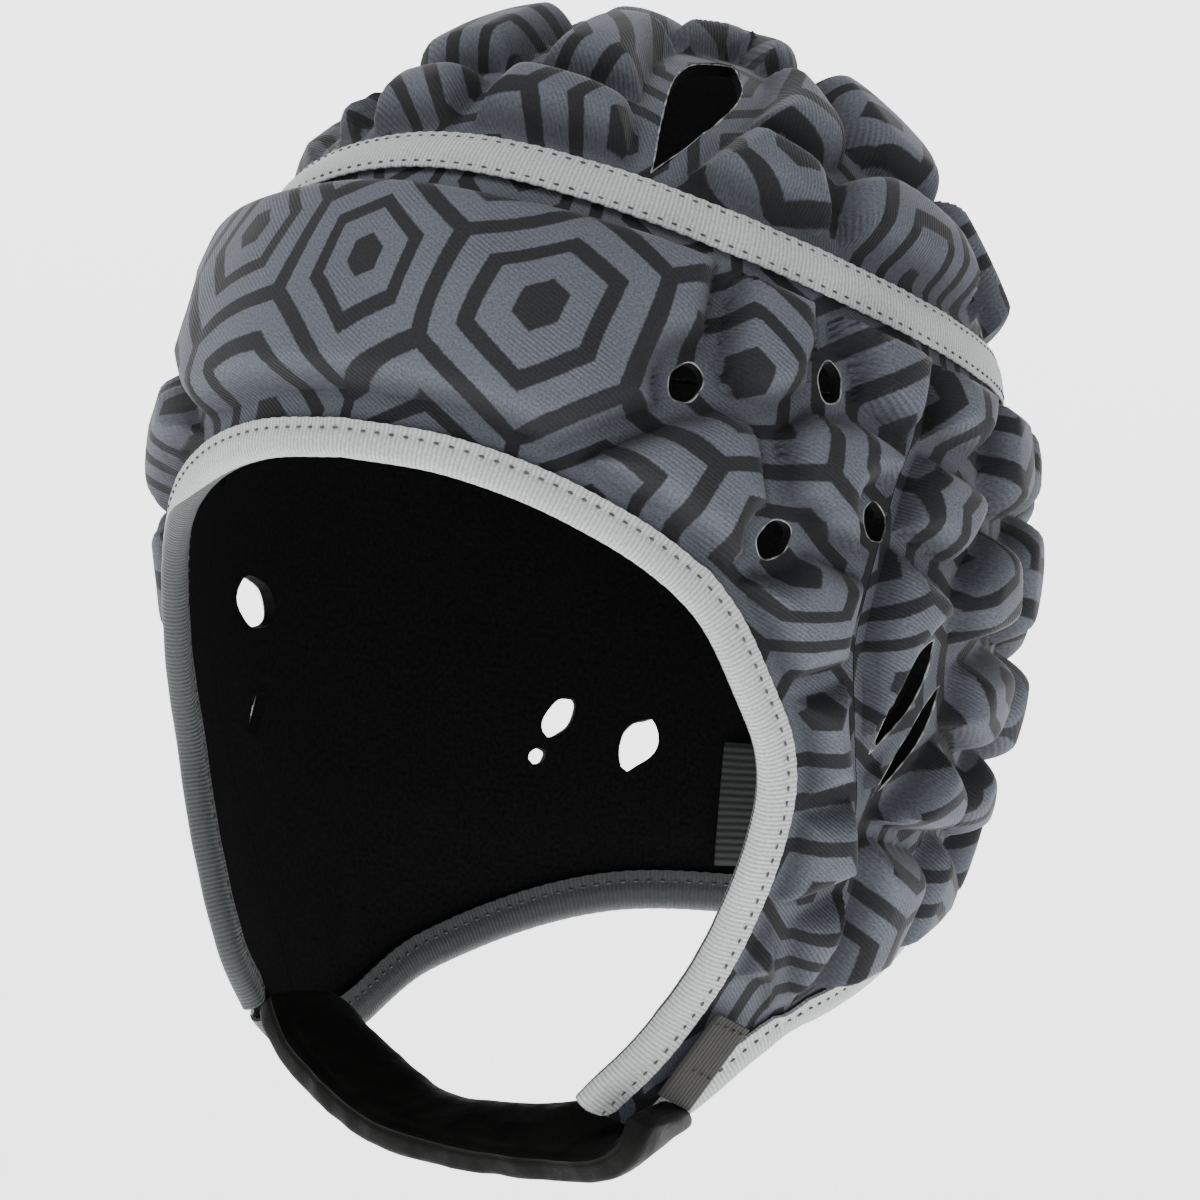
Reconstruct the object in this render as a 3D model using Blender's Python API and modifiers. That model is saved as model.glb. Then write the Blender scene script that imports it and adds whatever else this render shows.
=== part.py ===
"""Rugby scrum cap: padded head guard with a crown, a front and a rear panel, bound edges and a chin strap.

Metres, +Z up, the face looks along -Y and the wearer's left is +X. The origin is the top of the inner
crown, where the cap sits on a head. Run with: blender --background --python part.py
"""
import math

import bmesh
import bpy
import numpy as np

# Inner head form: an egg with its widest level RISE below the crown
HALF_WIDTH = 0.0853
FRONT_LENGTH = 0.1004
REAR_LENGTH = 0.0948
RISE = 0.1076
DOME_POWER = 2.15
PLAN_POWER = 1.9
TAPER_DEPTH = 0.1
SIDE_TAPER = 0.286
FRONT_TAPER = 0.322
FLAP_LEAN = 0.18

# Walls
PAD_THICKNESS = 0.0115
SEAM_THICKNESS = 0.0045
FLANGE_THICKNESS = 0.003
PAD_SHOULDER = 0.0125
CLEARANCE = 0.00045

# Level of the crown tape round the form: middle, lift of the front over the back, and bow
BAND_LEVEL = 0.055
BAND_LIFT = 0.0132
BAND_BOW = 0.0043

# Side flaps reach this far below the widest level
FLAP_DROP = 0.12
FLAT_BELOW = -0.76

# How the flaps lean sideways: depth as a share of TAPER_DEPTH, lean as a share of FLAP_LEAN
LEAN = (
    # depth, lean
    (0.10, 0.0),
    (1.05, 0.95),
    (1.25, 0.45),
)

# Trim
TAPE_WIDTH = 0.0102
FACE_BINDING_WIDTH = 0.0078
NECK_BINDING_WIDTH = 0.0065
TRIM_THICKNESS = 0.0008
CROWN_FLANGE = 0.0068
BOUND_FLANGE = 0.0092

# Vents and slits
VENT_WIDTH = 0.0078
VENT_LENGTH = 0.0096
EAR_SLOT_WIDTH = 0.0046
EAR_SLOT_LENGTH = 0.027
REAR_SLOT_WIDTH = 0.0058
REAR_SLOT_LENGTH = 0.016
CROWN_SLIT_WIDTH = 0.0105
CROWN_SLIT_LENGTH = 0.057
BACK_SLIT_WIDTH = 0.0075
BACK_SLIT_LENGTH = 0.026
CUT_DEPTH = 0.026
HOLE_RIM = 0.0014

# Chin strap, its tab and the patch inside the nape
STRAP_WIDTH = 0.027
STRAP_THICKNESS = 0.0055
STRAP_SPREAD = 0.055
STRAP_BACK = 0.025
STRAP_DROP = 0.0218
STRAP_LOWEST = 0.1278
TAB_WIDTH = 0.0066
TAB_THICKNESS = 0.0012
PATCH_WIDTH = 0.038
PATCH_HEIGHT = 0.028
PATCH_THICKNESS = 0.0014

# Face edge from the forehead's middle to the flap tip: turn in degrees, level as a share of FLAP_DROP
FACE_EDGE = (
    # turn, level
    (0.0, 0.083),
    (17.0, 0.068),
    (32.0, 0.018),
    (50.0, -0.11),
    (58.0, -0.26),
    (64.0, -0.40),
    (65.7, -0.60),
    (61.5, -0.86),
    (54.0, -0.97),
)

# Neck edge from the flap tip to the middle of the nape, in the same measures
NECK_EDGE = (
    # turn, level
    (72.0, -1.0),
    (82.0, -0.935),
    (97.0, -0.855),
    (120.0, -0.715),
    (150.0, -0.60),
    (180.0, -0.60),
)

# Seam between front and rear panel, from the crown tape down to the neck edge
SIDE_SEAM = (
    # turn, level
    (84.0, 0.42),
    (80.0, 0.26),
    (75.5, 0.10),
    (73.0, -0.04),
    (72.8, -0.17),
    (75.0, -0.28),
    (80.0, -0.43),
    (87.0, -0.62),
    (91.0, -0.90),
)

# Pads of one side: turn in degrees, level as a share of RISE, and the pad each point belongs to
FRONT_PADS = (
    # turn, level, pad
    (0.0, 0.36, "forehead"),
    (19.0, 0.35, "forehead"),
    (37.0, 0.36, "forehead"),
    (42.0, 0.45, "forehead"),
    (55.0, 0.42, "temple"),
    (72.5, 0.40, "over_ear"),
    (48.0, 0.08, "brow"),
    (67.0, 0.15, "side"),
    (63.5, -0.12, "front_of_ear"),
    (70.5, -0.40, "cheekbone"),
    (75.5, -0.61, "cheek"),
    (85.0, -0.80, "jaw_back"),
    (72.5, -0.88, "jaw_front"),
)
REAR_PADS = (
    # turn, level, pad
    (88.0, 0.33, "side_top"),
    (104.0, 0.26, "back_top_1"),
    (120.0, 0.30, "back_top_2"),
    (137.0, 0.25, "back_top_3"),
    (154.0, 0.29, "back_top_4"),
    (172.0, 0.26, "back_top_5"),
    (86.0, 0.13, "ear_top"),
    (81.0, -0.09, "ear_front"),
    (98.0, -0.01, "ear_back"),
    (114.0, 0.05, "back_1"),
    (130.0, -0.02, "back_2"),
    (147.0, 0.03, "back_3"),
    (164.0, -0.02, "back_4"),
    (180.0, 0.03, "back_5"),
    (102.0, -0.24, "behind_ear"),
    (121.0, -0.24, "back_6"),
    (141.0, -0.13, "back_7"),
    (158.0, -0.22, "back_8"),
    (174.0, -0.27, "back_9"),
    (97.0, -0.46, "lobe"),
    (114.0, -0.44, "nape_1"),
    (132.0, -0.48, "nape_2"),
    (149.0, -0.50, "nape_3"),
    (167.0, -0.47, "nape_4"),
    (96.0, -0.66, "neck_1"),
    (110.0, -0.62, "neck_2"),
)
CROWN_PADS = (
    # turn, level, pad
    (0.0, 0.93, "top_front"),
    (15.0, 0.80, "front_low"),
    (30.0, 0.955, "front_high"),
    (36.0, 0.82, "slit_front"),
    (61.0, 0.76, "temple_top"),
    (80.0, 0.985, "top_side"),
    (84.0, 0.665, "side_low"),
    (97.0, 0.885, "side_high"),
    (120.0, 0.66, "rear_side"),
    (128.0, 0.86, "rear_high"),
    (142.0, 0.66, "rear_low"),
    (158.0, 0.82, "rear_mid"),
    (167.0, 0.63, "back_low"),
    (180.0, 0.95, "top_rear"),
)

# Holes of one side: panel, turn, level as a share of RISE, length, width, and slant of the length
# from upright, towards the back of the head, in degrees
HOLES = (
    # panel, turn, level, length, width, slant
    ("front", 45.0, 0.285, VENT_LENGTH, VENT_WIDTH, 20.0),
    ("front", 65.0, 0.33, VENT_LENGTH, VENT_WIDTH, 5.0),
    ("front", 58.5, 0.02, VENT_LENGTH, VENT_WIDTH, 40.0),
    ("front", 74.0, 0.085, VENT_LENGTH, VENT_WIDTH, -15.0),
    ("rear", 84.0, -0.255, EAR_SLOT_LENGTH, EAR_SLOT_WIDTH, 27.0),
    ("rear", 88.5, -0.36, EAR_SLOT_LENGTH, EAR_SLOT_WIDTH, 27.0),
    ("rear", 142.0, -0.335, REAR_SLOT_LENGTH, REAR_SLOT_WIDTH, 38.0),
    ("rear", 155.0, -0.355, REAR_SLOT_LENGTH, REAR_SLOT_WIDTH, 38.0),
    ("crown", 45.0, 0.85, CROWN_SLIT_LENGTH, CROWN_SLIT_WIDTH, 22.0),
    ("crown", 112.0, 0.60, BACK_SLIT_LENGTH, BACK_SLIT_WIDTH, 12.0),
)

# Chin strap's middle line from the inside of the right flap to the outside of the left flap: place
# across as a share of STRAP_SPREAD, place forward of the middle as a share of STRAP_BACK, height over
# the lowest point as a share of STRAP_DROP, slope of the wide face up to the rear in degrees, and
# width as a share of STRAP_WIDTH
STRAP_LINE = (
    # across, forward, height, slope, width
    (-0.91, 0.60, 1.02, 12.0, 1.0),
    (-0.75, 0.62, 0.66, 13.0, 1.0),
    (-0.52, 0.80, 0.31, 15.0, 1.0),
    (-0.25, 0.94, 0.06, 16.0, 1.0),
    (0.03, 1.00, 0.0, 20.0, 1.0),
    (0.28, 1.02, 0.02, 25.0, 1.0),
    (0.54, 1.04, 0.09, 30.0, 1.0),
    (0.78, 1.12, 0.18, 27.0, 0.86),
    (0.93, 1.16, 0.40, 20.0, 0.66),
    (1.00, 1.12, 0.72, 15.0, 0.46),
)

# Ends of the tab's middle line: turn in degrees, level as a share of FLAP_DROP
TAB_ENDS = (
    # turn, level
    (78.0, -0.825),
    (73.2, -0.892),
)

# Grid of each panel, and the share of the front panel's half at which the band meets the seam
FRONT_COLUMNS = 28
FRONT_ROWS = 7
REAR_COLUMNS = 24
REAR_ROWS = 11
CROWN_COLUMNS = 40
CROWN_ROWS = 9
STRAP_ROWS = 24
STRAP_SIDES = 14
CORNER_SHARE = 0.31
CORNER_EASE = 0.75


def form(turn, level):
    """Points and outward normals of the inner head form; turn 0 is the face, level 0 the widest."""
    turn, level = np.broadcast_arrays(np.asarray(turn, float), np.asarray(level, float))
    sine, cosine = np.sin(turn), np.cos(turn)
    rise = np.clip(level / RISE, 0.0, 1.0)
    shrink = (1.0 - rise ** DOME_POWER) ** (1.0 / DOME_POWER)
    fall = np.clip(-level / TAPER_DEPTH, 0.0, None)
    taper = np.where(cosine > 0.0, FRONT_TAPER, 0.0)
    half = HALF_WIDTH * (1.0 - SIDE_TAPER * fall ** 2)
    length = np.where(cosine > 0.0, FRONT_LENGTH, REAR_LENGTH) * (1.0 - taper * fall ** 2)
    power = 2.0 / PLAN_POWER
    across = np.sign(sine) * np.abs(sine) ** power * shrink
    along = -np.sign(cosine) * np.abs(cosine) ** power * shrink
    points = np.stack([half * across, length * along, level], axis=-1)

    spread = np.abs(across) ** PLAN_POWER + np.abs(along) ** PLAN_POWER
    gain = np.where(level > 0.0, spread ** (DOME_POWER / PLAN_POWER - 1.0), 1.0)
    to_side = gain * np.abs(across) ** (PLAN_POWER - 1.0) * np.sign(across) / half
    to_back = gain * np.abs(along) ** (PLAN_POWER - 1.0) * np.sign(along) / length
    upward = rise ** (DOME_POWER - 1.0) / RISE
    narrowing = 2.0 * fall / TAPER_DEPTH
    side_fall = np.abs(across) ** PLAN_POWER * SIDE_TAPER * HALF_WIDTH / half
    front_fall = np.abs(along) ** PLAN_POWER * taper * FRONT_LENGTH / length
    downward = -narrowing * (side_fall + front_fall)
    normals = np.stack([to_side, to_back, upward + downward], axis=-1)
    normals /= np.linalg.norm(normals, axis=-1, keepdims=True)
    return points, normals


def lean(depth):
    """Sideways lean of the flaps at a depth under the widest level, and how fast it grows with depth."""
    depths = [row[0] * TAPER_DEPTH for row in LEAN]
    shares = [row[1] * FLAP_LEAN for row in LEAN]
    step = 0.02 * TAPER_DEPTH
    growth = np.interp(depth + step, depths, shares) - np.interp(depth - step, depths, shares)
    return np.interp(depth, depths, shares), growth / (2.0 * step)


def hung(turn, level):
    """The form's points and normals with the flaps leaning as they hang, crown top at the origin."""
    points, normals = form(turn, level)
    across, growth = lean(-points[..., 2])
    down = -growth * points[..., 0]
    zero = np.zeros_like(across)
    points = points + np.stack([zero, zero, points[..., 0] * across - RISE], axis=-1)
    tilt = normals[..., 2] / (1.0 + down)
    normals = normals - tilt[..., None] * np.stack([across, zero, down], axis=-1)
    return points, normals / np.linalg.norm(normals, axis=-1, keepdims=True)


def place(turn, level, out=0.0):
    """Points at a distance out from the hung head form."""
    points, normals = hung(turn, level)
    return points + normals * np.asarray(out)[..., None]


def smooth_line(rows, unit, shares):
    """Points on a smooth line through table rows, at shares of its length; returns turn and level."""
    knots = np.array([(math.radians(row[0]), row[1] * unit) for row in rows])
    steps = np.hypot(np.diff(knots[:, 0]) * HALF_WIDTH, np.diff(knots[:, 1]))
    stations = np.concatenate([[0.0], np.cumsum(steps)])
    slopes = np.gradient(knots, stations, axis=0)
    wanted = np.asarray(shares) * stations[-1]
    index = np.clip(np.searchsorted(stations, wanted, side="right") - 1, 0, len(steps) - 1)
    width = steps[index]
    part = (wanted - stations[index]) / width
    part = part[..., None]
    width = width[..., None]
    start, end = knots[index], knots[index + 1]
    line = start * (1 + 2 * part) * (1 - part) ** 2 + end * part ** 2 * (3 - 2 * part)
    line += width * part * (1 - part) * (slopes[index] * (1 - part) - slopes[index + 1] * part)
    return line[..., 0], line[..., 1]


def band_level(turn):
    """Level of the crown tape's middle."""
    return BAND_LEVEL + BAND_LIFT * np.cos(turn) + BAND_BOW * np.cos(2.0 * turn)


def neck_level(turn):
    """Level of the neck edge at a turn."""
    turns, levels = smooth_line(NECK_EDGE, FLAP_DROP, np.linspace(0.0, 1.0, 80))
    return np.interp(np.abs(turn), turns, levels)


def seam_turn(level):
    """Turn of the side seam at a level."""
    turns, levels = smooth_line(SIDE_SEAM, FLAP_DROP, np.linspace(0.0, 1.0, 80))
    return np.interp(-level, -levels, turns)


def row_shares(length, rows, first, last):
    """Shares of each row across a panel: one edge strip at each end and even rows between."""
    even = np.linspace(0.0, 1.0, rows - 1)
    start = (first / length)[..., None]
    stop = (1.0 - last / length)[..., None]
    inner = start + (stop - start) * even
    return np.concatenate([0.0 * start, inner, 1.0 + 0.0 * stop], axis=-1)


def span(first, second):
    """Distance over the form between two places given as turn and level."""
    return np.linalg.norm(place(*first) - place(*second), axis=-1)


def front_grid():
    """Turn and level of the front panel: ruled from the face edge to the band and the side seam."""
    share = np.linspace(-1.0, 1.0, 2 * FRONT_COLUMNS + 1)
    size = np.abs(share)
    side = np.sign(share)
    face = smooth_line(FACE_EDGE, FLAP_DROP, size)
    corner_turn = seam_turn(band_level(math.radians(SIDE_SEAM[0][0])))
    band_turn = corner_turn * np.clip(size / CORNER_SHARE, 0.0, 1.0)
    top = band_level(corner_turn) - CLEARANCE
    bottom_turn = math.radians(SIDE_SEAM[-1][0])
    bottom = neck_level(bottom_turn)
    down = np.clip((size - CORNER_SHARE) / (1.0 - CORNER_SHARE), 0.0, 1.0) ** CORNER_EASE
    seam_level = top + (bottom - top) * down
    on_band = size <= CORNER_SHARE
    outer_level = np.where(on_band, band_level(band_turn) - CLEARANCE, seam_level)
    gap = CLEARANCE / HALF_WIDTH
    outer_turn = np.where(on_band, band_turn, seam_turn(seam_level)) - gap * ~on_band
    edge_strip = np.where(on_band, CROWN_FLANGE, PAD_SHOULDER * 0.5)
    length = span(face, (outer_turn, outer_level))
    bound = place(side * face[0], face[1])
    ruling = place(side * outer_turn, outer_level) - bound
    edge = np.gradient(bound, axis=0)
    edge /= np.linalg.norm(edge, axis=1, keepdims=True)
    lengthwise = np.abs((ruling * edge).sum(1)) / np.linalg.norm(ruling, axis=1)
    strip = np.minimum(BOUND_FLANGE / np.sqrt(1.0 - np.minimum(lengthwise, 0.95) ** 2), 0.55 * length)
    across = row_shares(length, FRONT_ROWS + 2, strip, edge_strip)
    turn = face[0][:, None] * (1 - across) + outer_turn[:, None] * across
    level = face[1][:, None] * (1 - across) + outer_level[:, None] * across
    end = (size[:, None] ** 30) * (neck_level(turn) - level)
    end *= np.sin(math.pi * np.clip(across, 0.0, 1.0)) ** 0.5
    return side[:, None] * turn, level + end


def rear_grid():
    """Turn and level of the rear panel: from side seam to side seam and from neck edge to band."""
    share = np.linspace(-1.0, 1.0, 2 * REAR_COLUMNS + 1)
    gap = CLEARANCE / HALF_WIDTH
    guess = math.pi - np.abs(share) * (math.pi - math.radians(SIDE_SEAM[3][0]))
    low, high = neck_level(guess), band_level(guess) - CLEARANCE
    length = span((guess, low), (guess, high))
    across = row_shares(length, REAR_ROWS + 2, BOUND_FLANGE + 0.0 * length, CROWN_FLANGE + 0.0 * length)
    turn = guess[:, None] + 0.0 * across
    for _ in range(6):
        level = neck_level(turn) * (1 - across) + (band_level(turn) - CLEARANCE) * across
        turn = math.pi - np.abs(share)[:, None] * (math.pi - seam_turn(level) - gap)
    side = np.where(share < 0.0, -1.0, 1.0)
    return side[:, None] * turn, level


def crown_grid():
    """Turn and level of the crown panel: rings from the band to the top."""
    turn = np.linspace(-math.pi, math.pi, CROWN_COLUMNS, endpoint=False)
    start = np.arcsin(((band_level(turn) + CLEARANCE) / RISE) ** (DOME_POWER / 2.0))
    length = (math.pi / 2.0 - start) * HALF_WIDTH
    first = (CROWN_FLANGE / length)[:, None]
    even = np.linspace(0.0, 1.0, CROWN_ROWS, endpoint=False)
    across = np.concatenate([0.0 * first, first + (1.0 - first) * even], axis=1)
    lift = start[:, None] + (math.pi / 2.0 - start[:, None]) * across
    level = RISE * np.sin(lift) ** (2.0 / DOME_POWER)
    return turn[:, None] + 0.0 * level, level


def both_sides(turn):
    """The turn itself and its mirror, or one of them where it lies on the middle plane."""
    if turn in (0.0, 180.0):
        return (turn,)
    return (turn, -turn)


def pad_seeds(table):
    """Points of all pads of a panel, with a number for the pad that each belongs to."""
    places, names = [], []
    for turn, level, name in table:
        for sided in both_sides(turn):
            places.append(place(math.radians(sided), level * RISE))
            middle = name == "forehead" or len(both_sides(turn)) == 1
            names.append(name if middle else f"{name}{sided > 0}")
    order = {name: number for number, name in enumerate(dict.fromkeys(names))}
    return np.array(places), np.array([order[name] for name in names])


def pad_border(points, table):
    """Distance of each point from the channel round the pad that it lies on."""
    seeds, pads = pad_seeds(table)
    squares = ((points[..., None, :] - seeds) ** 2).sum(-1)
    nearest = squares.argmin(-1)
    own = np.take_along_axis(squares, nearest[..., None], -1)
    spacing = np.linalg.norm(seeds[nearest][..., None, :] - seeds, axis=-1)
    other = pads[nearest][..., None] != pads
    away = np.where(other, (squares - own) / (2.0 * np.maximum(spacing, PAD_SHOULDER)), 1.0)
    return away.min(-1)


def hole_frame(hole, side):
    """Middle, length direction, width direction and outward normal of a hole."""
    _, turn, level, _, _, slant = hole
    turn, level = side * math.radians(turn), level * RISE
    step = 0.002
    middle = place(turn, level)
    up = place(turn, level + step * 0.5) - place(turn, level - step * 0.5)
    back = place(turn + side * step / HALF_WIDTH, level) - middle
    normal = np.cross(back, up) * side
    normal /= np.linalg.norm(normal)
    up /= np.linalg.norm(up)
    back = np.cross(up, normal) * side
    angle = math.radians(slant)
    along = up * math.cos(angle) + back * math.sin(angle)
    return middle, along, np.cross(along, normal), normal


def panel_holes(panel):
    """All holes of a panel with the side each is on."""
    return [(hole, side) for hole in HOLES if hole[0] == panel for side in (1.0, -1.0)]


def hole_distance(points, panel):
    """Distance of each point from the nearest hole's rim, as from a slot with round ends."""
    nearest = np.full(points.shape[:-1], 1.0)
    for hole, side in panel_holes(panel):
        middle, along, _, _ = hole_frame(hole, side)
        half = 0.5 * (hole[3] - hole[4])
        run = np.clip((points - middle) @ along, -half, half)
        away = np.linalg.norm(points - middle - run[..., None] * along, axis=-1) - 0.5 * hole[4]
        nearest = np.minimum(nearest, away)
    return nearest


def shoulder(distance):
    """Rounded rise of a pad from 0 at its channel to 1 at PAD_SHOULDER inside it."""
    part = np.clip(distance / PAD_SHOULDER, 0.0, 1.0)
    return np.sin(0.5 * math.pi * part) ** 1.5


def wall_shares(grid, panel, table, flange_rows):
    """Wall thickness at each grid point as a share of the whole pad."""
    points = place(*grid)
    border = np.minimum(pad_border(points, table), hole_distance(points, panel) - HOLE_RIM)
    if panel != "crown":
        beside_seam = np.abs(np.abs(grid[0]) - seam_turn(grid[1])) * HALF_WIDTH
        border = np.minimum(border, beside_seam)
    rise = shoulder(border)
    thickness = SEAM_THICKNESS + (PAD_THICKNESS - SEAM_THICKNESS) * rise
    for row in flange_rows:
        thickness[:, row] = FLANGE_THICKNESS
    return thickness / PAD_THICKNESS


def sheet(name, points, closed_round=False, top=None):
    """Mesh object from a grid of points; closed_round joins the last column to the first."""
    mesh = bpy.data.meshes.new(name)
    work = bmesh.new()
    verts = [[work.verts.new(point) for point in column] for column in points]
    count = len(verts)
    for column in range(count if closed_round else count - 1):
        near, far = verts[column], verts[(column + 1) % count]
        for row in range(len(near) - 1):
            work.faces.new((near[row], far[row], far[row + 1], near[row + 1]))
    if top is not None:
        peak = work.verts.new(top)
        for column in range(count):
            work.faces.new((verts[column][-1], verts[(column + 1) % count][-1], peak))
    work.to_mesh(mesh)
    work.free()
    piece = bpy.data.objects.new(name, mesh)
    COLLECTION.objects.link(piece)
    return piece


def thicken(piece, thickness, offset, shares=None):
    """Solidify an open sheet; shares gives each vertex its part of the thickness."""
    wall = piece.modifiers.new("wall", "SOLIDIFY")
    wall.thickness = thickness
    wall.offset = offset
    if shares is None:
        return
    group = piece.vertex_groups.new(name="thickness")
    for index, share in enumerate(shares):
        group.add([index], float(share), "REPLACE")
    wall.vertex_group = group.name
    wall.thickness_vertex_group = 0.0


def paint(piece, name, color, roughness):
    """Give a piece its own Principled material."""
    material = bpy.data.materials.new(name)
    material.use_nodes = True
    shader = material.node_tree.nodes["Principled BSDF"]
    shader.inputs["Base Color"].default_value = (*color, 1.0)
    shader.inputs["Roughness"].default_value = roughness
    shader.inputs["Metallic"].default_value = 0.0
    piece.data.materials.append(material)
    material.diffuse_color = (*color, 1.0)


def cutter(hole, side):
    """Prism of a hole's outline along the form's normal: a leaf, or an oval for a short hole."""
    middle, along, across, normal = hole_frame(hole, side)
    length, width = hole[3], hole[4]
    sides = 12
    mesh = bpy.data.meshes.new("cutter")
    work = bmesh.new()
    ends = []
    for depth in (-0.5 * CUT_DEPTH, 0.5 * CUT_DEPTH):
        ring = []
        for step in range(sides):
            angle = 2.0 * math.pi * (step + 0.5) / sides
            point = middle + along * (0.5 * length * math.cos(angle))
            point = point + across * (0.5 * width * math.sin(angle))
            point = point + normal * (depth + 0.5 * PAD_THICKNESS)
            ring.append(work.verts.new(point))
        ends.append(ring)
    for step in range(sides):
        after = (step + 1) % sides
        work.faces.new((ends[0][step], ends[0][after], ends[1][after], ends[1][step]))
    work.faces.new(ends[0])
    work.faces.new(ends[1])
    bmesh.ops.recalc_face_normals(work, faces=work.faces)
    work.to_mesh(mesh)
    work.free()
    piece = bpy.data.objects.new(f"cutter_{hole[0]}", mesh)
    piece.hide_render = True
    piece.display_type = "WIRE"
    return piece


def cut_holes(piece, panel):
    """Cut a panel's vents and slits right through its wall."""
    cutters = bpy.data.collections.new(f"cutters_{panel}")
    CUTTERS.children.link(cutters)
    for hole, side in panel_holes(panel):
        cutters.objects.link(cutter(hole, side))
    cut = piece.modifiers.new("vents", "BOOLEAN")
    cut.operation = "DIFFERENCE"
    cut.operand_type = "COLLECTION"
    cut.collection = cutters
    cut.solver = "EXACT"


def make_front_panel():
    """Forehead and cheeks in one padded piece."""
    grid = front_grid()
    piece = sheet("front_panel", place(*grid))
    shares = wall_shares(grid, "front", FRONT_PADS, (0, 1))
    taped = np.abs(np.linspace(-1.0, 1.0, 2 * FRONT_COLUMNS + 1)) <= CORNER_SHARE + 1.0 / FRONT_COLUMNS
    shares[taped, -2:] = FLANGE_THICKNESS / PAD_THICKNESS
    shares[(0, 1, 2, -3, -2, -1), :] = FLANGE_THICKNESS / PAD_THICKNESS
    shares[grid[1] < FLAT_BELOW * FLAP_DROP] = FLANGE_THICKNESS / PAD_THICKNESS
    thicken(piece, PAD_THICKNESS, 1.0, shares.ravel())
    cut_holes(piece, "front")
    paint(piece, "printed_knit_front", (0.13, 0.14, 0.18), 0.85)


def make_rear_panel():
    """Ears, back of the head and nape in one padded piece."""
    grid = rear_grid()
    piece = sheet("rear_panel", place(*grid)[::-1])
    shares = wall_shares(grid, "rear", REAR_PADS, (0, 1, -2, -1))
    thicken(piece, PAD_THICKNESS, 1.0, shares[::-1].ravel())
    cut_holes(piece, "rear")
    paint(piece, "printed_knit_rear", (0.13, 0.14, 0.18), 0.85)


def make_crown_panel():
    """Padded dome over the band."""
    grid = crown_grid()
    piece = sheet("crown_panel", place(*grid), closed_round=True, top=place(0.0, RISE))
    shares = wall_shares(grid, "crown", CROWN_PADS, (0, 1))
    thicken(piece, PAD_THICKNESS, 1.0, [*shares.ravel(), 0.9])
    cut_holes(piece, "crown")
    paint(piece, "printed_knit_crown", (0.13, 0.14, 0.18), 0.85)


def make_crown_tape():
    """Flat tape round the cap over the join of crown, front and rear panel."""
    turn = np.linspace(-math.pi, math.pi, 2 * CROWN_COLUMNS, endpoint=False)[:, None]
    across = np.array([[-0.5, 0.5]]) * TAPE_WIDTH
    points, normals = form(turn, band_level(turn))
    slope = np.hypot(normals[..., 0], normals[..., 1])
    out = FLANGE_THICKNESS + CLEARANCE + 0.5 * TRIM_THICKNESS
    piece = sheet("crown_tape", place(turn, band_level(turn) + across * slope, out + 0.0 * across * turn), True)
    thicken(piece, TRIM_THICKNESS, 0.0)
    paint(piece, "tape", (0.50, 0.53, 0.52), 0.8)


def beside(turn, level, away, distance):
    """Turn and level of the places that lie a distance from a line on the form, towards away."""
    step = 0.001
    by_turn = (place(turn + step, level) - place(turn - step, level)) / (2.0 * step)
    by_level = (place(turn, level + step) - place(turn, level - step)) / (2.0 * step)
    aa, ab, bb = (by_turn ** 2).sum(-1), (by_turn * by_level).sum(-1), (by_level ** 2).sum(-1)
    ca, cb = (away * by_turn).sum(-1), (away * by_level).sum(-1)
    scale = distance / (aa * bb - ab * ab)
    return turn + (ca * bb - cb * ab) * scale, level + (cb * aa - ca * ab) * scale


def make_binding(name, turn, level, width):
    """Tape folded round an edge: a U section carried along the edge on the head form."""
    middle, normal = hung(turn, level)
    away = np.cross(np.gradient(middle, axis=0), normal)
    away /= np.linalg.norm(away, axis=-1, keepdims=True)
    lift = CLEARANCE + 0.5 * TRIM_THICKNESS
    section = (
        (-width, FLANGE_THICKNESS + lift),
        (0.0, FLANGE_THICKNESS + lift),
        (lift, FLANGE_THICKNESS),
        (lift, 0.0),
        (0.0, -lift),
        (-width, -lift),
    )
    points = [place(*beside(turn, level, away, side), out + 0.0 * turn) for side, out in section]
    piece = sheet(name, np.stack(points, axis=1))
    thicken(piece, TRIM_THICKNESS, 0.0)
    paint(piece, name, (0.50, 0.53, 0.52), 0.8)


def make_bindings():
    """Bindings of the face edge and of the neck edge, each from flap tip to flap tip."""
    share = np.linspace(-1.0, 1.0, 2 * FRONT_COLUMNS + 1)
    turn, level = smooth_line(FACE_EDGE, FLAP_DROP, np.abs(share))
    make_binding("face_binding", np.sign(share) * turn, level, FACE_BINDING_WIDTH)
    share = np.linspace(0.03, 1.97, 2 * REAR_COLUMNS + 1)
    turn, level = smooth_line(NECK_EDGE, FLAP_DROP, np.minimum(share, 2.0 - share))
    turn = np.where(share > 1.0, 2.0 * math.pi - turn, turn)
    make_binding("neck_binding", turn, level, NECK_BINDING_WIDTH)


def strap_frames():
    """Middle, wide direction, flat direction and width share at each station of the chin strap."""
    table = np.array(STRAP_LINE)
    slopes = np.gradient(table, axis=0)
    wanted = np.linspace(0.0, len(table) - 1.0, STRAP_ROWS)
    index = np.minimum(wanted.astype(int), len(table) - 2)
    part = (wanted - index)[:, None]
    line = table[index] * (1 + 2 * part) * (1 - part) ** 2 + table[index + 1] * part ** 2 * (3 - 2 * part)
    line += part * (1 - part) * (slopes[index] * (1 - part) - slopes[index + 1] * part)
    across, forward, height, slope, share = line.T
    bottom = -RISE - STRAP_LOWEST
    middle = np.stack([across * STRAP_SPREAD, -forward * STRAP_BACK, bottom + height * STRAP_DROP], axis=1)
    along = np.gradient(middle, axis=0)
    along /= np.linalg.norm(along, axis=1, keepdims=True)
    slope = np.radians(slope)
    wide = np.stack([np.zeros_like(slope), np.cos(slope), np.sin(slope)], axis=1)
    wide -= along * (wide * along).sum(1, keepdims=True)
    wide /= np.linalg.norm(wide, axis=1, keepdims=True)
    return middle, wide, np.cross(wide, along), share


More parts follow.
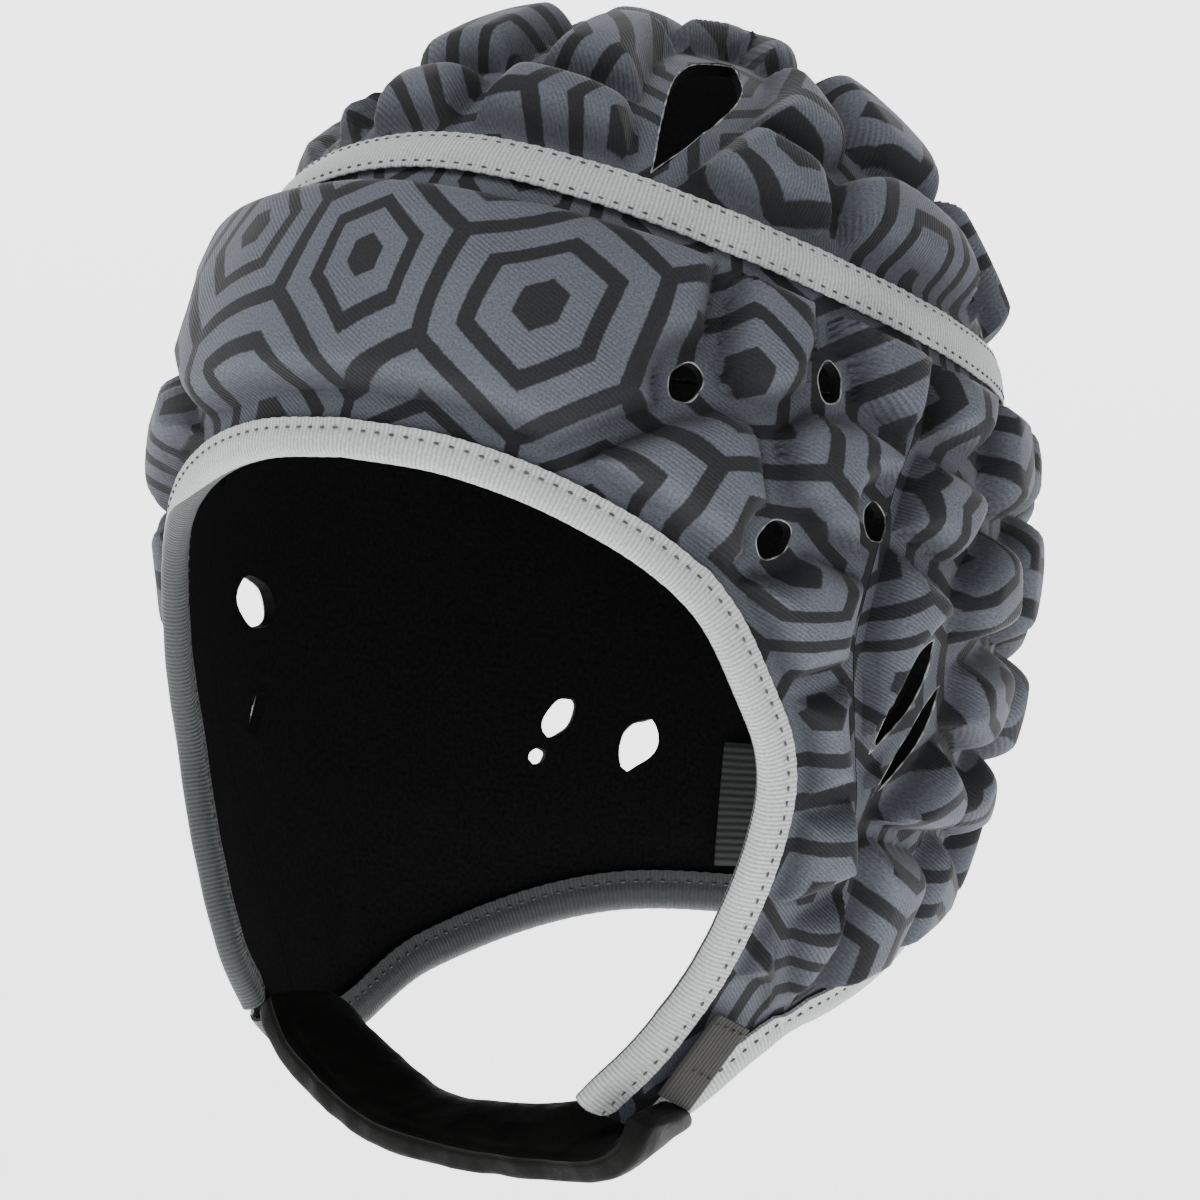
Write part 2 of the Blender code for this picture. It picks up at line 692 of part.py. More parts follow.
def make_chin_strap():
    """Padded band under the chin, from the inside of one flap to the outside of the other."""
    middle, wide, flat, share = strap_frames()
    angle = np.linspace(0.0, 2.0 * math.pi, STRAP_SIDES, endpoint=False)
    section = np.stack([np.cos(angle), np.sin(angle)], axis=1)
    section = np.sign(section) * np.abs(section) ** 0.5
    end = np.minimum(np.arange(STRAP_ROWS), np.arange(STRAP_ROWS)[::-1]) / 2.0
    share = share * (0.65 + 0.35 * np.sqrt(1.0 - (1.0 - np.clip(end, 0.0, 1.0)) ** 2))
    width = 0.5 * STRAP_WIDTH * share[:, None, None] * section[None, :, :1]
    depth = 0.5 * STRAP_THICKNESS * section[None, :, 1:]
    points = middle[:, None] + wide[:, None] * width + flat[:, None] * depth
    mesh = bpy.data.meshes.new("chin_strap")
    work = bmesh.new()
    rings = [[work.verts.new(point) for point in ring] for ring in points]
    for near, far in zip(rings[:-1], rings[1:]):
        for step in range(STRAP_SIDES):
            after = (step + 1) % STRAP_SIDES
            work.faces.new((near[step], near[after], far[after], far[step]))
    work.faces.new(rings[0])
    work.faces.new(rings[-1])
    bmesh.ops.recalc_face_normals(work, faces=work.faces)
    work.to_mesh(mesh)
    work.free()
    piece = bpy.data.objects.new("chin_strap", mesh)
    COLLECTION.objects.link(piece)
    paint(piece, "chin_strap", (0.012, 0.011, 0.009), 0.5)


def make_strap_tab():
    """Webbing tab on the outside of the left flap, which runs down to the strap's end."""
    ends = [np.array([math.radians(turn), level * FLAP_DROP]) for turn, level in TAB_ENDS]
    down = place(*ends[1]) - place(*ends[0])
    _, normal = hung(*ends[0])
    wide = np.cross(normal, down / np.linalg.norm(down))
    row, column = np.meshgrid(np.linspace(0.0, 1.0, 5), np.linspace(-0.5, 0.5, 3), indexing="ij")
    spot = ends[0] + (ends[1] - ends[0]) * row[..., None]
    out = FLANGE_THICKNESS + 2.0 * CLEARANCE + 0.5 * TAB_THICKNESS
    points = place(spot[..., 0], spot[..., 1], out + 0.0 * row) + wide * (TAB_WIDTH * column[..., None])
    piece = sheet("strap_tab", points)
    thicken(piece, TAB_THICKNESS, 0.0)
    paint(piece, "strap_tab", (0.045, 0.042, 0.034), 0.75)


def make_nape_patch():
    """Webbing patch inside the middle of the nape, over the neck binding."""
    across = np.linspace(-0.5, 0.5, 7) * PATCH_WIDTH / REAR_LENGTH
    turn, rise = np.meshgrid(math.pi - across, np.linspace(0.0, PATCH_HEIGHT, 5), indexing="ij")
    level = neck_level(math.pi) + NECK_BINDING_WIDTH + 5.0 * CLEARANCE + rise
    out = -CLEARANCE - 0.5 * PATCH_THICKNESS
    piece = sheet("nape_patch", place(turn, level, out + 0.0 * turn))
    thicken(piece, PATCH_THICKNESS, 0.0)
    paint(piece, "nape_patch", (0.03, 0.033, 0.033), 0.8)


for old in list(bpy.data.objects):
    bpy.data.objects.remove(old, do_unlink=True)
COLLECTION = bpy.data.collections.new("rugby_scrum_cap")
bpy.context.scene.collection.children.link(COLLECTION)
CUTTERS = bpy.data.collections.new("cutters")
bpy.context.scene.collection.children.link(CUTTERS)

make_front_panel()
make_rear_panel()
make_crown_panel()
make_crown_tape()
make_bindings()
make_chin_strap()
make_strap_tab()
make_nape_patch()
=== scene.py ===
"""Rugby scrum cap: padded panels in printed knit, woven tapes with stitches, a faux-leather chin strap.

Metres, +Z up, the face looks along -Y, the wearer's left is +X, and the origin is the top of the inner
crown. Every surface is worked out on a grid of turn and level over the same head form as the frame.
"""
import math

import bpy
import numpy as np
from mathutils import Matrix


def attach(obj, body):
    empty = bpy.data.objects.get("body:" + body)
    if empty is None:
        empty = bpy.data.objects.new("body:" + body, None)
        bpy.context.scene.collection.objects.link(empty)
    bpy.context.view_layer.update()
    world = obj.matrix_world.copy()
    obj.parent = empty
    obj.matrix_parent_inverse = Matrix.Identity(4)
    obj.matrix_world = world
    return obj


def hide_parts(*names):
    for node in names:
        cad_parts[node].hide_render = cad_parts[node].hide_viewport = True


bl_info = {
    "name": "Rugby scrum cap",
    "version": (1, 0, 0),
    "blender": (4, 5, 0),
    "location": "3D view > Sidebar > Scrum cap",
    "description": "Builds a padded scrum cap with its tapes, stitches and chin strap",
    "category": "Add Mesh",
}

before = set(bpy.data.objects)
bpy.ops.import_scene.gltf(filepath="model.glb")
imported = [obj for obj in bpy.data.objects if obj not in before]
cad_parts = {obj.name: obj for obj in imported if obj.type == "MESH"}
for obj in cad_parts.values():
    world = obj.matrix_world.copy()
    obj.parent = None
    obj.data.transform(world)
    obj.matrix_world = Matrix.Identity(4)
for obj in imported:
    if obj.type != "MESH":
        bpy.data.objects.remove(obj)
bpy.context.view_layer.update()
BODY = "root"

# Head form
HALF_WIDTH = 0.0853
FRONT_LENGTH = 0.1004
REAR_LENGTH = 0.0948
RISE = 0.1076
DOME_POWER = 2.15
PLAN_POWER = 1.9
TAPER_DEPTH = 0.1
SIDE_TAPER = 0.286
FRONT_TAPER = 0.322
FLAP_LEAN = 0.18
FLAP_DROP = 0.12
BAND_LEVEL = 0.055
BAND_LIFT = 0.0132
BAND_BOW = 0.0043
CLEARANCE = 0.00045
SEAM_GAP = 0.00008

# How the flaps lean sideways: depth as a share of TAPER_DEPTH, lean as a share of FLAP_LEAN
LEAN = (
    # depth, lean
    (0.10, 0.0),
    (1.05, 0.95),
    (1.25, 0.45),
)

# Face edge from the forehead's middle to the flap tip: turn in degrees, level as a share of FLAP_DROP
FACE_EDGE = (
    # turn, level
    (0.0, 0.083),
    (17.0, 0.068),
    (32.0, 0.018),
    (50.0, -0.11),
    (58.0, -0.26),
    (64.0, -0.40),
    (65.7, -0.60),
    (61.5, -0.86),
    (54.0, -0.97),
)

# Ends of the face edge that replace its last rows: the left tip lies over the strap, the right one
# turns back behind it
LEFT_TIP = (
    # turn, level
    (60.0, -0.88),
    (47.0, -1.005),
)
RIGHT_TIP = (
    # turn, level
    (67.0, -0.74),
    (72.5, -0.812),
)

# Hems under the flaps from the tip of the face edge to the neck edge, which follows from its second
# row on the left and from its third on the right
LEFT_HEM = (
    # turn, level
    (49.0, -1.012),
    (60.0, -1.03),
    (72.0, -1.0),
)
RIGHT_HEM = (
    # turn, level
    (74.0, -0.818),
    (83.0, -0.862),
)

# Neck edge from the flap tip to the middle of the nape, in the same measures
NECK_EDGE = (
    # turn, level
    (72.0, -1.0),
    (82.0, -0.935),
    (97.0, -0.855),
    (120.0, -0.715),
    (150.0, -0.60),
    (180.0, -0.60),
)

# Seam between front and rear panel
SIDE_SEAM = (
    # turn, level
    (84.0, 0.42),
    (80.0, 0.26),
    (75.5, 0.10),
    (73.0, -0.04),
    (72.8, -0.17),
    (75.0, -0.28),
    (80.0, -0.43),
    (87.0, -0.62),
    (91.0, -0.90),
)

# Pads of one side: turn in degrees, level as a share of RISE, and the pad each point belongs to
FRONT_PADS = (
    # turn, level, pad
    (0.0, 0.36, "forehead"),
    (19.0, 0.35, "forehead"),
    (37.0, 0.36, "forehead"),
    (42.0, 0.45, "forehead"),
    (55.0, 0.42, "temple"),
    (72.5, 0.40, "over_ear"),
    (48.0, 0.08, "brow"),
    (67.0, 0.15, "side"),
    (63.5, -0.12, "front_of_ear"),
    (70.5, -0.40, "cheekbone"),
    (75.5, -0.61, "cheek"),
    (85.0, -0.80, "jaw_back"),
    (72.5, -0.88, "jaw_front"),
)
REAR_PADS = (
    # turn, level, pad
    (88.0, 0.33, "side_top"),
    (104.0, 0.26, "back_top_1"),
    (120.0, 0.30, "back_top_2"),
    (137.0, 0.25, "back_top_3"),
    (154.0, 0.29, "back_top_4"),
    (172.0, 0.26, "back_top_5"),
    (86.0, 0.13, "ear_top"),
    (81.0, -0.09, "ear_front"),
    (98.0, -0.01, "ear_back"),
    (114.0, 0.05, "back_1"),
    (130.0, -0.02, "back_2"),
    (147.0, 0.03, "back_3"),
    (164.0, -0.02, "back_4"),
    (180.0, 0.03, "back_5"),
    (102.0, -0.24, "behind_ear"),
    (121.0, -0.24, "back_6"),
    (141.0, -0.13, "back_7"),
    (158.0, -0.22, "back_8"),
    (174.0, -0.27, "back_9"),
    (97.0, -0.46, "lobe"),
    (114.0, -0.44, "nape_1"),
    (132.0, -0.48, "nape_2"),
    (149.0, -0.50, "nape_3"),
    (167.0, -0.47, "nape_4"),
    (96.0, -0.66, "neck_1"),
    (110.0, -0.62, "neck_2"),
)
CROWN_PADS = (
    # turn, level, pad, side: 0 both, 1 left, -1 right
    (14.0, 0.725, "front", 1),
    (12.0, 0.73, "front_right", -1),
    (23.0, 0.925, "top", 1),
    (17.0, 0.925, "top_right", -1),
    (0.0, 0.9995, "top_middle", 1),
    (35.0, 0.67, "right_low", -1),
    (56.0, 0.66, "temple_top", 1),
    (56.0, 0.67, "right_low", -1),
    (70.0, 0.86, "slit_back", 0),
    (80.0, 0.985, "top_side", 0),
    (81.0, 0.62, "side_low", 0),
    (95.0, 0.84, "side_high", 0),
    (120.0, 0.66, "rear_side", 0),
    (128.0, 0.86, "rear_high", 0),
    (142.0, 0.66, "rear_low", 0),
    (158.0, 0.82, "rear_mid", 0),
    (167.0, 0.63, "back_low", 0),
    (180.0, 0.95, "top_rear", 1),
)

PADS = {"front": FRONT_PADS, "rear": REAR_PADS, "crown": CROWN_PADS}

# Holes: turn, level as a share of RISE, length and width in millimetres, slant in degrees from upright
# towards the back of the head, outline, and the sides that have it: 0 both, 1 left, -1 right
HOLES = {
    "front": (
        # turn, level, length, width, slant, outline, side
        (45.0, 0.285, 8.6, 7.2, 20.0, "oval", 0),
        (65.0, 0.33, 8.6, 6.6, 5.0, "oval", 0),
        (58.5, 0.02, 8.6, 7.2, 40.0, "oval", 0),
        (73.2, 0.085, 8.8, 6.0, -15.0, "oval", 0),
    ),
    "rear": (
        # turn, level, length, width, slant, outline, side
        (84.0, -0.255, 28.0, 7.4, 27.0, "drop", 1),
        (88.0, -0.355, 29.0, 4.8, 27.0, "drop", 1),
        (87.0, -0.165, 11.5, 16.0, 10.0, "oval", -1),
        (88.5, -0.36, 22.0, 4.4, 27.0, "leaf", -1),
        (142.0, -0.305, 11.0, 5.8, 30.0, "oval", 0),
        (139.0, -0.385, 4.6, 3.6, 60.0, "oval", 0),
        (154.0, -0.35, 15.0, 8.2, 24.0, "drop", 0),
    ),
    "crown": (
        # turn, level, length, width, slant, outline, side
        (47.0, 0.850, 61.0, 13.0, 23.0, "drop", 0),
        (112.0, 0.60, 27.0, 8.0, 12.0, "leaf", 0),
    ),
}

# Chin strap's middle line: across, forward, height, slope of the wide face in degrees, width share
STRAP_SPREAD = 0.055
STRAP_BACK = 0.025
STRAP_DROP = 0.0218
STRAP_LOWEST = 0.1278
STRAP_LINE = (
    # across, forward, height, slope, width
    (-0.955, 0.60, 1.04, 12.0, 1.0),
    (-0.79, 0.62, 0.66, 13.0, 1.0),
    (-0.52, 0.80, 0.31, 15.0, 1.0),
    (-0.25, 0.94, 0.06, 16.0, 1.0),
    (0.03, 1.00, 0.0, 20.0, 1.0),
    (0.28, 1.02, 0.02, 25.0, 1.0),
    (0.54, 1.04, 0.09, 30.0, 1.0),
    (0.78, 1.12, 0.12, 27.0, 1.0),
    (0.905, 1.17, 0.26, 27.0, 0.98),
    (0.955, 1.18, 0.48, 26.0, 0.92),
)
TAB_ENDS = ((72.5, -0.868), (65.5, -0.985))
TAB_WIDTH = 0.0115
PATCH_WIDTH = 0.038
PATCH_HEIGHT = 0.028

# Grids. Front: columns of one side up to the corner, columns beyond it, rows. Rear: half the columns,
# rows. Crown: columns, rows. The corner lies at a share of the face edge, and the rows near it ease.
FRONT_GRID = (100, 150, 50)
REAR_GRID = (150, 112)
CROWN_GRID = (400, 100)
CORNER_SHARE = 0.31
CORNER_EASE = 0.75

# Print: ink from each distance from a cell's middle, as a share of the pitch, and its unevenness
PRINT_STOPS = (
    # distance, ink
    (0.108, 1.0),
    (0.114, 0.0),
    (0.246, 0.0),
    (0.252, 1.0),
    (0.326, 1.0),
    (0.332, 0.0),
    (0.454, 0.0),
    (0.460, 1.0),
)
PRINT_WARP = 0.014
PRINT_FRAY = 0.0004

# Ribs of the knit and weaves of the tapes: pitches in metres, slant in degrees
RIB_PITCH = 0.00075
RIB_SLANT = 32.0
TAPE_PITCH = 0.0009
BINDING_PITCH = 0.00095
TAB_PITCH = 0.0011
PATCH_PITCH = 0.0016

# Thin sheets, seams and thread
TAPE_THICKNESS = 0.0009
BINDING_THICKNESS = 0.0008
TAB_THICKNESS = 0.0012
PATCH_THICKNESS = 0.0014
THREAD_RADIUS = 0.00032
STITCH_LENGTH = 0.0012
TAB_STITCH_PITCH = 0.0021
TAPE_SEAM = 0.72
BINDING_SEAM = 0.62

# Holes: bare margin between a hole and its pads, and how much a drop widens towards its upper end
HOLE_MARGIN = {"front": 0.0012, "rear": 0.0012, "crown": 0.0030}
DROP_SWELL = 0.45

# Camera: azimuth, elevation and roll in degrees, distance, lens, and the aim beside the widest level
CAMERA_AZIMUTH = 31.74
CAMERA_ELEVATION = -3.06
CAMERA_ROLL = 7.1
CAMERA_DISTANCE = 1.3149
CAMERA_LENS = 181.1
CAMERA_AIM = (0.0026, -0.01065)


def linear(code):
    """Linear RGBA of an sRGB hex colour: x/12.92 below 0.04045, else ((x+0.055)/1.055)^2.4."""
    values = [int(code[start:start + 2], 16) / 255.0 for start in (1, 3, 5)]
    return (*[v / 12.92 if v < 0.04045 else ((v + 0.055) / 1.055) ** 2.4 for v in values], 1.0)


def length_prop(name, description, default):
    """A length property in metres."""
    return bpy.props.FloatProperty(name=name, description=description, default=default, min=0.0,
                                   unit="LENGTH", precision=5)


def colour_prop(name, description, code):
    """A colour property whose default is an sRGB hex code."""
    return bpy.props.FloatVectorProperty(name=name, description=description, default=linear(code),
                                         size=4, min=0.0, max=1.0, subtype="COLOR")


class CapSizes(bpy.types.PropertyGroup):
    """Sizes of the soft parts."""
    channel_wall: length_prop("Channel wall", "Thickness of cloth and lining between the pads", 0.0030)
    flange_wall: length_prop("Flange wall", "Thickness under the tapes", 0.0024)
    pad_height: length_prop("Pad height", "How far a pad stands over its channel", 0.0078)
    pad_edge: length_prop("Pad edge", "Width of a pad's rounded edge", 0.0054)
    pad_crown: length_prop("Pad crown", "Extra height in the middle of a pad", 0.0014)
    channel_width: length_prop("Channel width", "Width of the flat strip between two pads", 0.0046)
    tape_width: length_prop("Tape width", "Width of the tape round the crown", 0.0102)
    face_binding: length_prop("Face binding", "Width of the binding of the face edge", 0.0054)
    neck_binding: length_prop("Neck binding", "Width of the binding of the neck edge", 0.0066)
    stitch_pitch: length_prop("Stitch pitch", "Distance from one stitch to the next", 0.0030)
    strap_width: length_prop("Strap width", "Width of the chin strap", 0.029)
    strap_thickness: length_prop("Strap thickness", "Thickness of the chin strap", 0.0070)
    print_pitch: length_prop("Print pitch", "Distance between two cells of the print", 0.037)


class CapColours(bpy.types.PropertyGroup):
    """Colours of cloth, tape and strap."""
    knit: colour_prop("Knit", "Ground of the printed knit", "#4c4f57")
    ink: colour_prop("Ink", "Dark lines of the print", "#1a1b1e")
    lining: colour_prop("Lining", "Inside of the cap", "#0b0b0c")
    tape: colour_prop("Tape", "Tape and bindings outside", "#a3a8a6")
    # Painted shade: the same tape where it turns inside, coloured darker.
    tape_inside_shade: colour_prop("Tape inside", "Bindings where they turn inside", "#2d3132")
    thread: colour_prop("Thread", "Stitches", "#3c4042")
    strap: colour_prop("Strap", "Chin strap", "#040403")
    tab: colour_prop("Tab", "Webbing tab at the strap's end", "#181713")
    tab_thread: colour_prop("Tab thread", "Stitches of the tab", "#0c0d0d")
    patch: colour_prop("Patch", "Webbing inside the nape", "#1b1f1e")
    cut_edge: colour_prop("Cut edge", "Raw edges of the holes", "#5a5c5a")


def unit(vectors):
    """Vectors at length one."""
    return vectors / np.maximum(np.linalg.norm(vectors, axis=-1, keepdims=True), 1e-9)


def form(turn, level):
    """Egg: a superellipse of power 1.9 in plan that shrinks by a power of 2.15 up to the crown and
    narrows with the square of the depth below the widest level. Returns points and outward normals."""
    turn, level = np.broadcast_arrays(np.asarray(turn, float), np.asarray(level, float))
    sine, cosine = np.sin(turn), np.cos(turn)
    rise = np.clip(level / RISE, 0.0, 1.0)
    shrink = (1.0 - rise ** DOME_POWER) ** (1.0 / DOME_POWER)
    fall = np.clip(-level / TAPER_DEPTH, 0.0, None)
    taper = np.where(cosine > 0.0, FRONT_TAPER, 0.0)
    half = HALF_WIDTH * (1.0 - SIDE_TAPER * fall ** 2)
    length = np.where(cosine > 0.0, FRONT_LENGTH, REAR_LENGTH) * (1.0 - taper * fall ** 2)
    power = 2.0 / PLAN_POWER
    across = np.sign(sine) * np.abs(sine) ** power * shrink
    along = -np.sign(cosine) * np.abs(cosine) ** power * shrink
    points = np.stack([half * across, length * along, level], axis=-1)

    spread = np.maximum(np.abs(across) ** PLAN_POWER + np.abs(along) ** PLAN_POWER, 1e-9)
    gain = np.where(level > 0.0, spread ** (DOME_POWER / PLAN_POWER - 1.0), 1.0)
    to_side = gain * np.abs(across) ** (PLAN_POWER - 1.0) * np.sign(across) / half
    to_back = gain * np.abs(along) ** (PLAN_POWER - 1.0) * np.sign(along) / length
    upward = rise ** (DOME_POWER - 1.0) / RISE
    narrowing = 2.0 * fall / TAPER_DEPTH
    side_fall = np.abs(across) ** PLAN_POWER * SIDE_TAPER * HALF_WIDTH / half
    front_fall = np.abs(along) ** PLAN_POWER * taper * FRONT_LENGTH / length
    normals = np.stack([to_side, to_back, upward - narrowing * (side_fall + front_fall)], axis=-1)
    return points, unit(normals)


def lean(depth):
    """Sideways lean of the flaps at a depth below the widest level, and how fast it grows."""
    depths = [row[0] * TAPER_DEPTH for row in LEAN]
    shares = [row[1] * FLAP_LEAN for row in LEAN]
    step = 0.02 * TAPER_DEPTH
    growth = np.interp(depth + step, depths, shares) - np.interp(depth - step, depths, shares)
    return np.interp(depth, depths, shares), growth / (2.0 * step)


def hung(turn, level):
    """The form sheared so that height grows by across times lean; points and normals."""
    points, normals = form(turn, level)
    across, growth = lean(-points[..., 2])
    down = -growth * points[..., 0]
    zero = np.zeros_like(across)
    points = points + np.stack([zero, zero, points[..., 0] * across - RISE], axis=-1)
    tilt = normals[..., 2] / (1.0 + down)
    normals = normals - tilt[..., None] * np.stack([across, zero, down], axis=-1)
    return points, unit(normals)


def place(turn, level, out=0.0):
    """Points at a distance out from the hung form."""
    points, normals = hung(turn, level)
    return points + normals * np.asarray(out)[..., None]


def smooth_line(rows, unit, shares):
    """Cubic through table rows of turn and level, read at shares of its length."""
    knots = np.array([(math.radians(row[0]), row[1] * unit) for row in rows])
    steps = np.hypot(np.diff(knots[:, 0]) * HALF_WIDTH, np.diff(knots[:, 1]))
    stations = np.concatenate([[0.0], np.cumsum(steps)])
    slopes = np.gradient(knots, stations, axis=0)
    wanted = np.asarray(shares) * stations[-1]
    index = np.clip(np.searchsorted(stations, wanted, side="right") - 1, 0, len(steps) - 1)
    width = steps[index][..., None]
    part = ((wanted - stations[index]) / steps[index])[..., None]
    start, end = knots[index], knots[index + 1]
    line = start * (1 + 2 * part) * (1 - part) ** 2 + end * part ** 2 * (3 - 2 * part)
    line += width * part * (1 - part) * (slopes[index] * (1 - part) - slopes[index + 1] * part)
    return line[..., 0], line[..., 1]


def band_level(turn):
    """Level of the crown tape's middle: a cosine lift of the front and a small bow."""
    return BAND_LEVEL + BAND_LIFT * np.cos(turn) + BAND_BOW * np.cos(2.0 * turn)


LEFT_ROWS = LEFT_HEM + NECK_EDGE[1:]
RIGHT_ROWS = RIGHT_HEM + NECK_EDGE[2:]
LEFT_NECK = smooth_line(LEFT_ROWS, FLAP_DROP, np.linspace(0.0, 1.0, 160))
RIGHT_NECK = smooth_line(RIGHT_ROWS, FLAP_DROP, np.linspace(0.0, 1.0, 160))
SEAM_LINE = smooth_line(SIDE_SEAM, FLAP_DROP, np.linspace(0.0, 1.0, 80))


def neck_level(turn):
    """Level of the hem and the neck edge at a turn, which is negative on the right."""
    return np.where(turn > 0.0, np.interp(np.abs(turn), *LEFT_NECK), np.interp(np.abs(turn), *RIGHT_NECK))


def seam_turn(level):
    """Turn of the side seam at a level."""
    return np.interp(-np.asarray(level), -SEAM_LINE[1], SEAM_LINE[0])


def beside(turn, level, away, distance):
    """Turn and level a short distance from a place towards a direction, by the surface's metric."""
    step = 0.0005
    by_turn = (place(turn + step, level) - place(turn - step, level)) / (2.0 * step)
    by_level = (place(turn, level + step) - place(turn, level - step)) / (2.0 * step)
    aa, ab, bb = (by_turn ** 2).sum(-1), (by_turn * by_level).sum(-1), (by_level ** 2).sum(-1)
    ca, cb = (away * by_turn).sum(-1), (away * by_level).sum(-1)
    scale = distance / np.maximum(aa * bb - ab * ab, 1e-12)
    return turn + (ca * bb - cb * ab) * scale, level + (cb * aa - ca * ab) * scale


def lumps(points, pitch, seed):
    """Value noise from -1 to 1: hashed values on a cubic lattice, blended by smoothsteps."""
    scaled = points / pitch
    cell = np.floor(scaled).astype(np.int64)
    part = scaled - cell
    part = part * part * (3.0 - 2.0 * part)
    total = np.zeros(points.shape[:-1])
    for corner in np.ndindex(2, 2, 2):
        x, y, z = np.moveaxis(cell + np.array(corner), -1, 0)
        mixed = (x * 73856093 ^ y * 19349663 ^ z * 83492791 ^ seed * 2654435761) & 0xFFFFFFFF
        mixed = ((mixed ^ (mixed >> 13)) * 1274126177) & 0xFFFFFFFF
        mixed = mixed ^ (mixed >> 16)
        weight = np.where(np.array(corner), part, 1.0 - part).prod(-1)
        total += weight * (mixed / 2147483648.0 - 1.0)
    return total


def pad_seeds(table):
    """Points of all pads of a panel on both sides, and a number for the pad of each."""
    places, names = [], []
    for turn, level, name, *only in table:
        sides = (float(only[0]),) if only and only[0] else (1.0, -1.0)
        for side in ((1.0,) if turn in (0.0, 180.0) else sides):
            places.append(place(side * math.radians(turn), level * RISE))
            names.append(name if name == "forehead" or turn in (0.0, 180.0) else f"{name}{side}")
    order = {name: number for number, name in enumerate(dict.fromkeys(names))}
    return np.array(places), np.array([order[name] for name in names])


def pad_border(points, table):
    """Distance from the nearest channel: half the difference of squared distances to the own pad and
    each other pad, over their spacing, taken as a soft minimum; and the number of the own pad. Where
    two points of the own pad are about as near, the spacing blends between theirs."""
    seeds, pads = pad_seeds(table)
    squares = ((points[..., None, :] - seeds) ** 2).sum(-1)
    nearest = squares.argmin(-1)
    own = np.take_along_axis(squares, nearest[..., None], -1)
    closeness = np.exp((own - squares) / 6.0e-5) * (pads[nearest][..., None] == pads)
    between = np.linalg.norm(seeds[:, None] - seeds, axis=-1)
    spacing = (closeness / closeness.sum(-1, keepdims=True)) @ between
    other = pads[nearest][..., None] != pads
    away = np.where(other, (squares - own) / (2.0 * np.maximum(spacing, 0.006)), 1.0)
    softness = 0.0011
    soft = -softness * np.log(np.exp(-away / softness).sum(-1))
    return soft, pads[nearest]


def hole_sides(hole):
    """Sides of the head that have a hole, as signs of the turn."""
    return (1.0, -1.0) if hole[6] == 0 else (float(hole[6]),)


def hole_frame(hole, side):
    """Middle, length direction, width direction and outward normal of a hole."""
    turn, level = side * math.radians(hole[0]), hole[1] * RISE
    step = 0.002
    middle = place(turn, level)
    up = place(turn, level + step * 0.5) - place(turn, level - step * 0.5)
    back = place(turn + side * step / HALF_WIDTH, level) - middle
    normal = unit(np.cross(back, up) * side)
    up = unit(up)
    back = np.cross(up, normal) * side
    angle = math.radians(hole[4])
    along = up * math.cos(angle) + back * math.sin(angle)
    return middle, along, np.cross(along, normal), normal


def hole_wobble(angle, hole):
    """Unevenness of a cut outline: two sines of the angle, shifted by the hole's turn."""
    share = 0.055 if hole[5] == "oval" else 0.03
    return share * np.sin(2.0 * angle + hole[0]) + 0.5 * share * np.sin(5.0 * angle + hole[1] * 9.0)


def outline_distance(along, across, hole):
    """Signed distance from a hole's outline, negative inside: the outline function minus one, over
    the length of its slope. Oval: root of the squares' sum. Leaf: width share plus length share
    squared, which gives pointed ends. Drop: a leaf whose width grows towards its upper end."""
    long, wide = 0.0005 * hole[2], 0.0005 * hole[3]
    if hole[5] == "drop":
        wide = wide * (1.0 + DROP_SWELL * np.clip(along / long, -1.0, 1.0))
    wobble = 1.0 + hole_wobble(np.arctan2(across / wide, along / long), hole)
    long, wide = long * wobble, wide * wobble
    if hole[5] == "oval":
        value = np.maximum(np.hypot(along / long, across / wide), 1e-6)
        slope_a, slope_b = along / long ** 2 / value, across / wide ** 2 / value
    else:
        bend = np.sqrt((across / wide) ** 2 + 1e-4)
        value = bend + (along / long) ** 2
        slope_a, slope_b = 2.0 * along / long ** 2, across / wide ** 2 / bend
    steep = np.maximum(np.hypot(slope_a, slope_b), 1e-6)
    return (value - 1.0) / steep, slope_a / steep, slope_b / steep


def hole_distance(points, panel):
    """Signed distance to the nearest hole outline and the direction away from it."""
    nearest = np.full(points.shape[:-1], 1.0)
    away = np.zeros(points.shape)
    for hole in HOLES[panel]:
        for side in hole_sides(hole):
            middle, along, across, _ = hole_frame(hole, side)
            offset = points - middle
            close = np.linalg.norm(offset, axis=-1) < 0.00075 * hole[2] + 0.012
            distance, part_a, part_b = outline_distance(offset @ along, offset @ across, hole)
            better = close & (distance < nearest)
            nearest = np.where(better, distance, nearest)
            direction = part_a[..., None] * along + part_b[..., None] * across
            away = np.where(better[..., None], direction, away)
    return nearest, away


def grid_triangles(columns, rows, wrap):
    """Index triangles of a grid, two to a cell; wrap joins the last column to the first."""
    column = np.arange(columns if wrap else columns - 1)[:, None]
    row = np.arange(rows - 1)[None, :]
    after = (column + 1) % columns
    a, b = column * rows + row, after * rows + row
    c, d = b + 1, a + 1
    return np.concatenate([np.stack(three, -1).reshape(-1, 3) for three in ((a, b, c), (a, c, d))])


def edges_of(triangles):
    """Directed edges of the triangles."""
    return np.concatenate([triangles[:, [0, 1]], triangles[:, [1, 2]], triangles[:, [2, 0]]])


def border_edges(triangles):
    """Directed edges that only one triangle uses."""
    edges = edges_of(triangles)
    key = np.sort(edges, axis=1)
    key = key[:, 0] * (triangles.max() + 1) + key[:, 1]
    _, first, count = np.unique(key, return_index=True, return_counts=True)
    return edges[first[count == 1]]


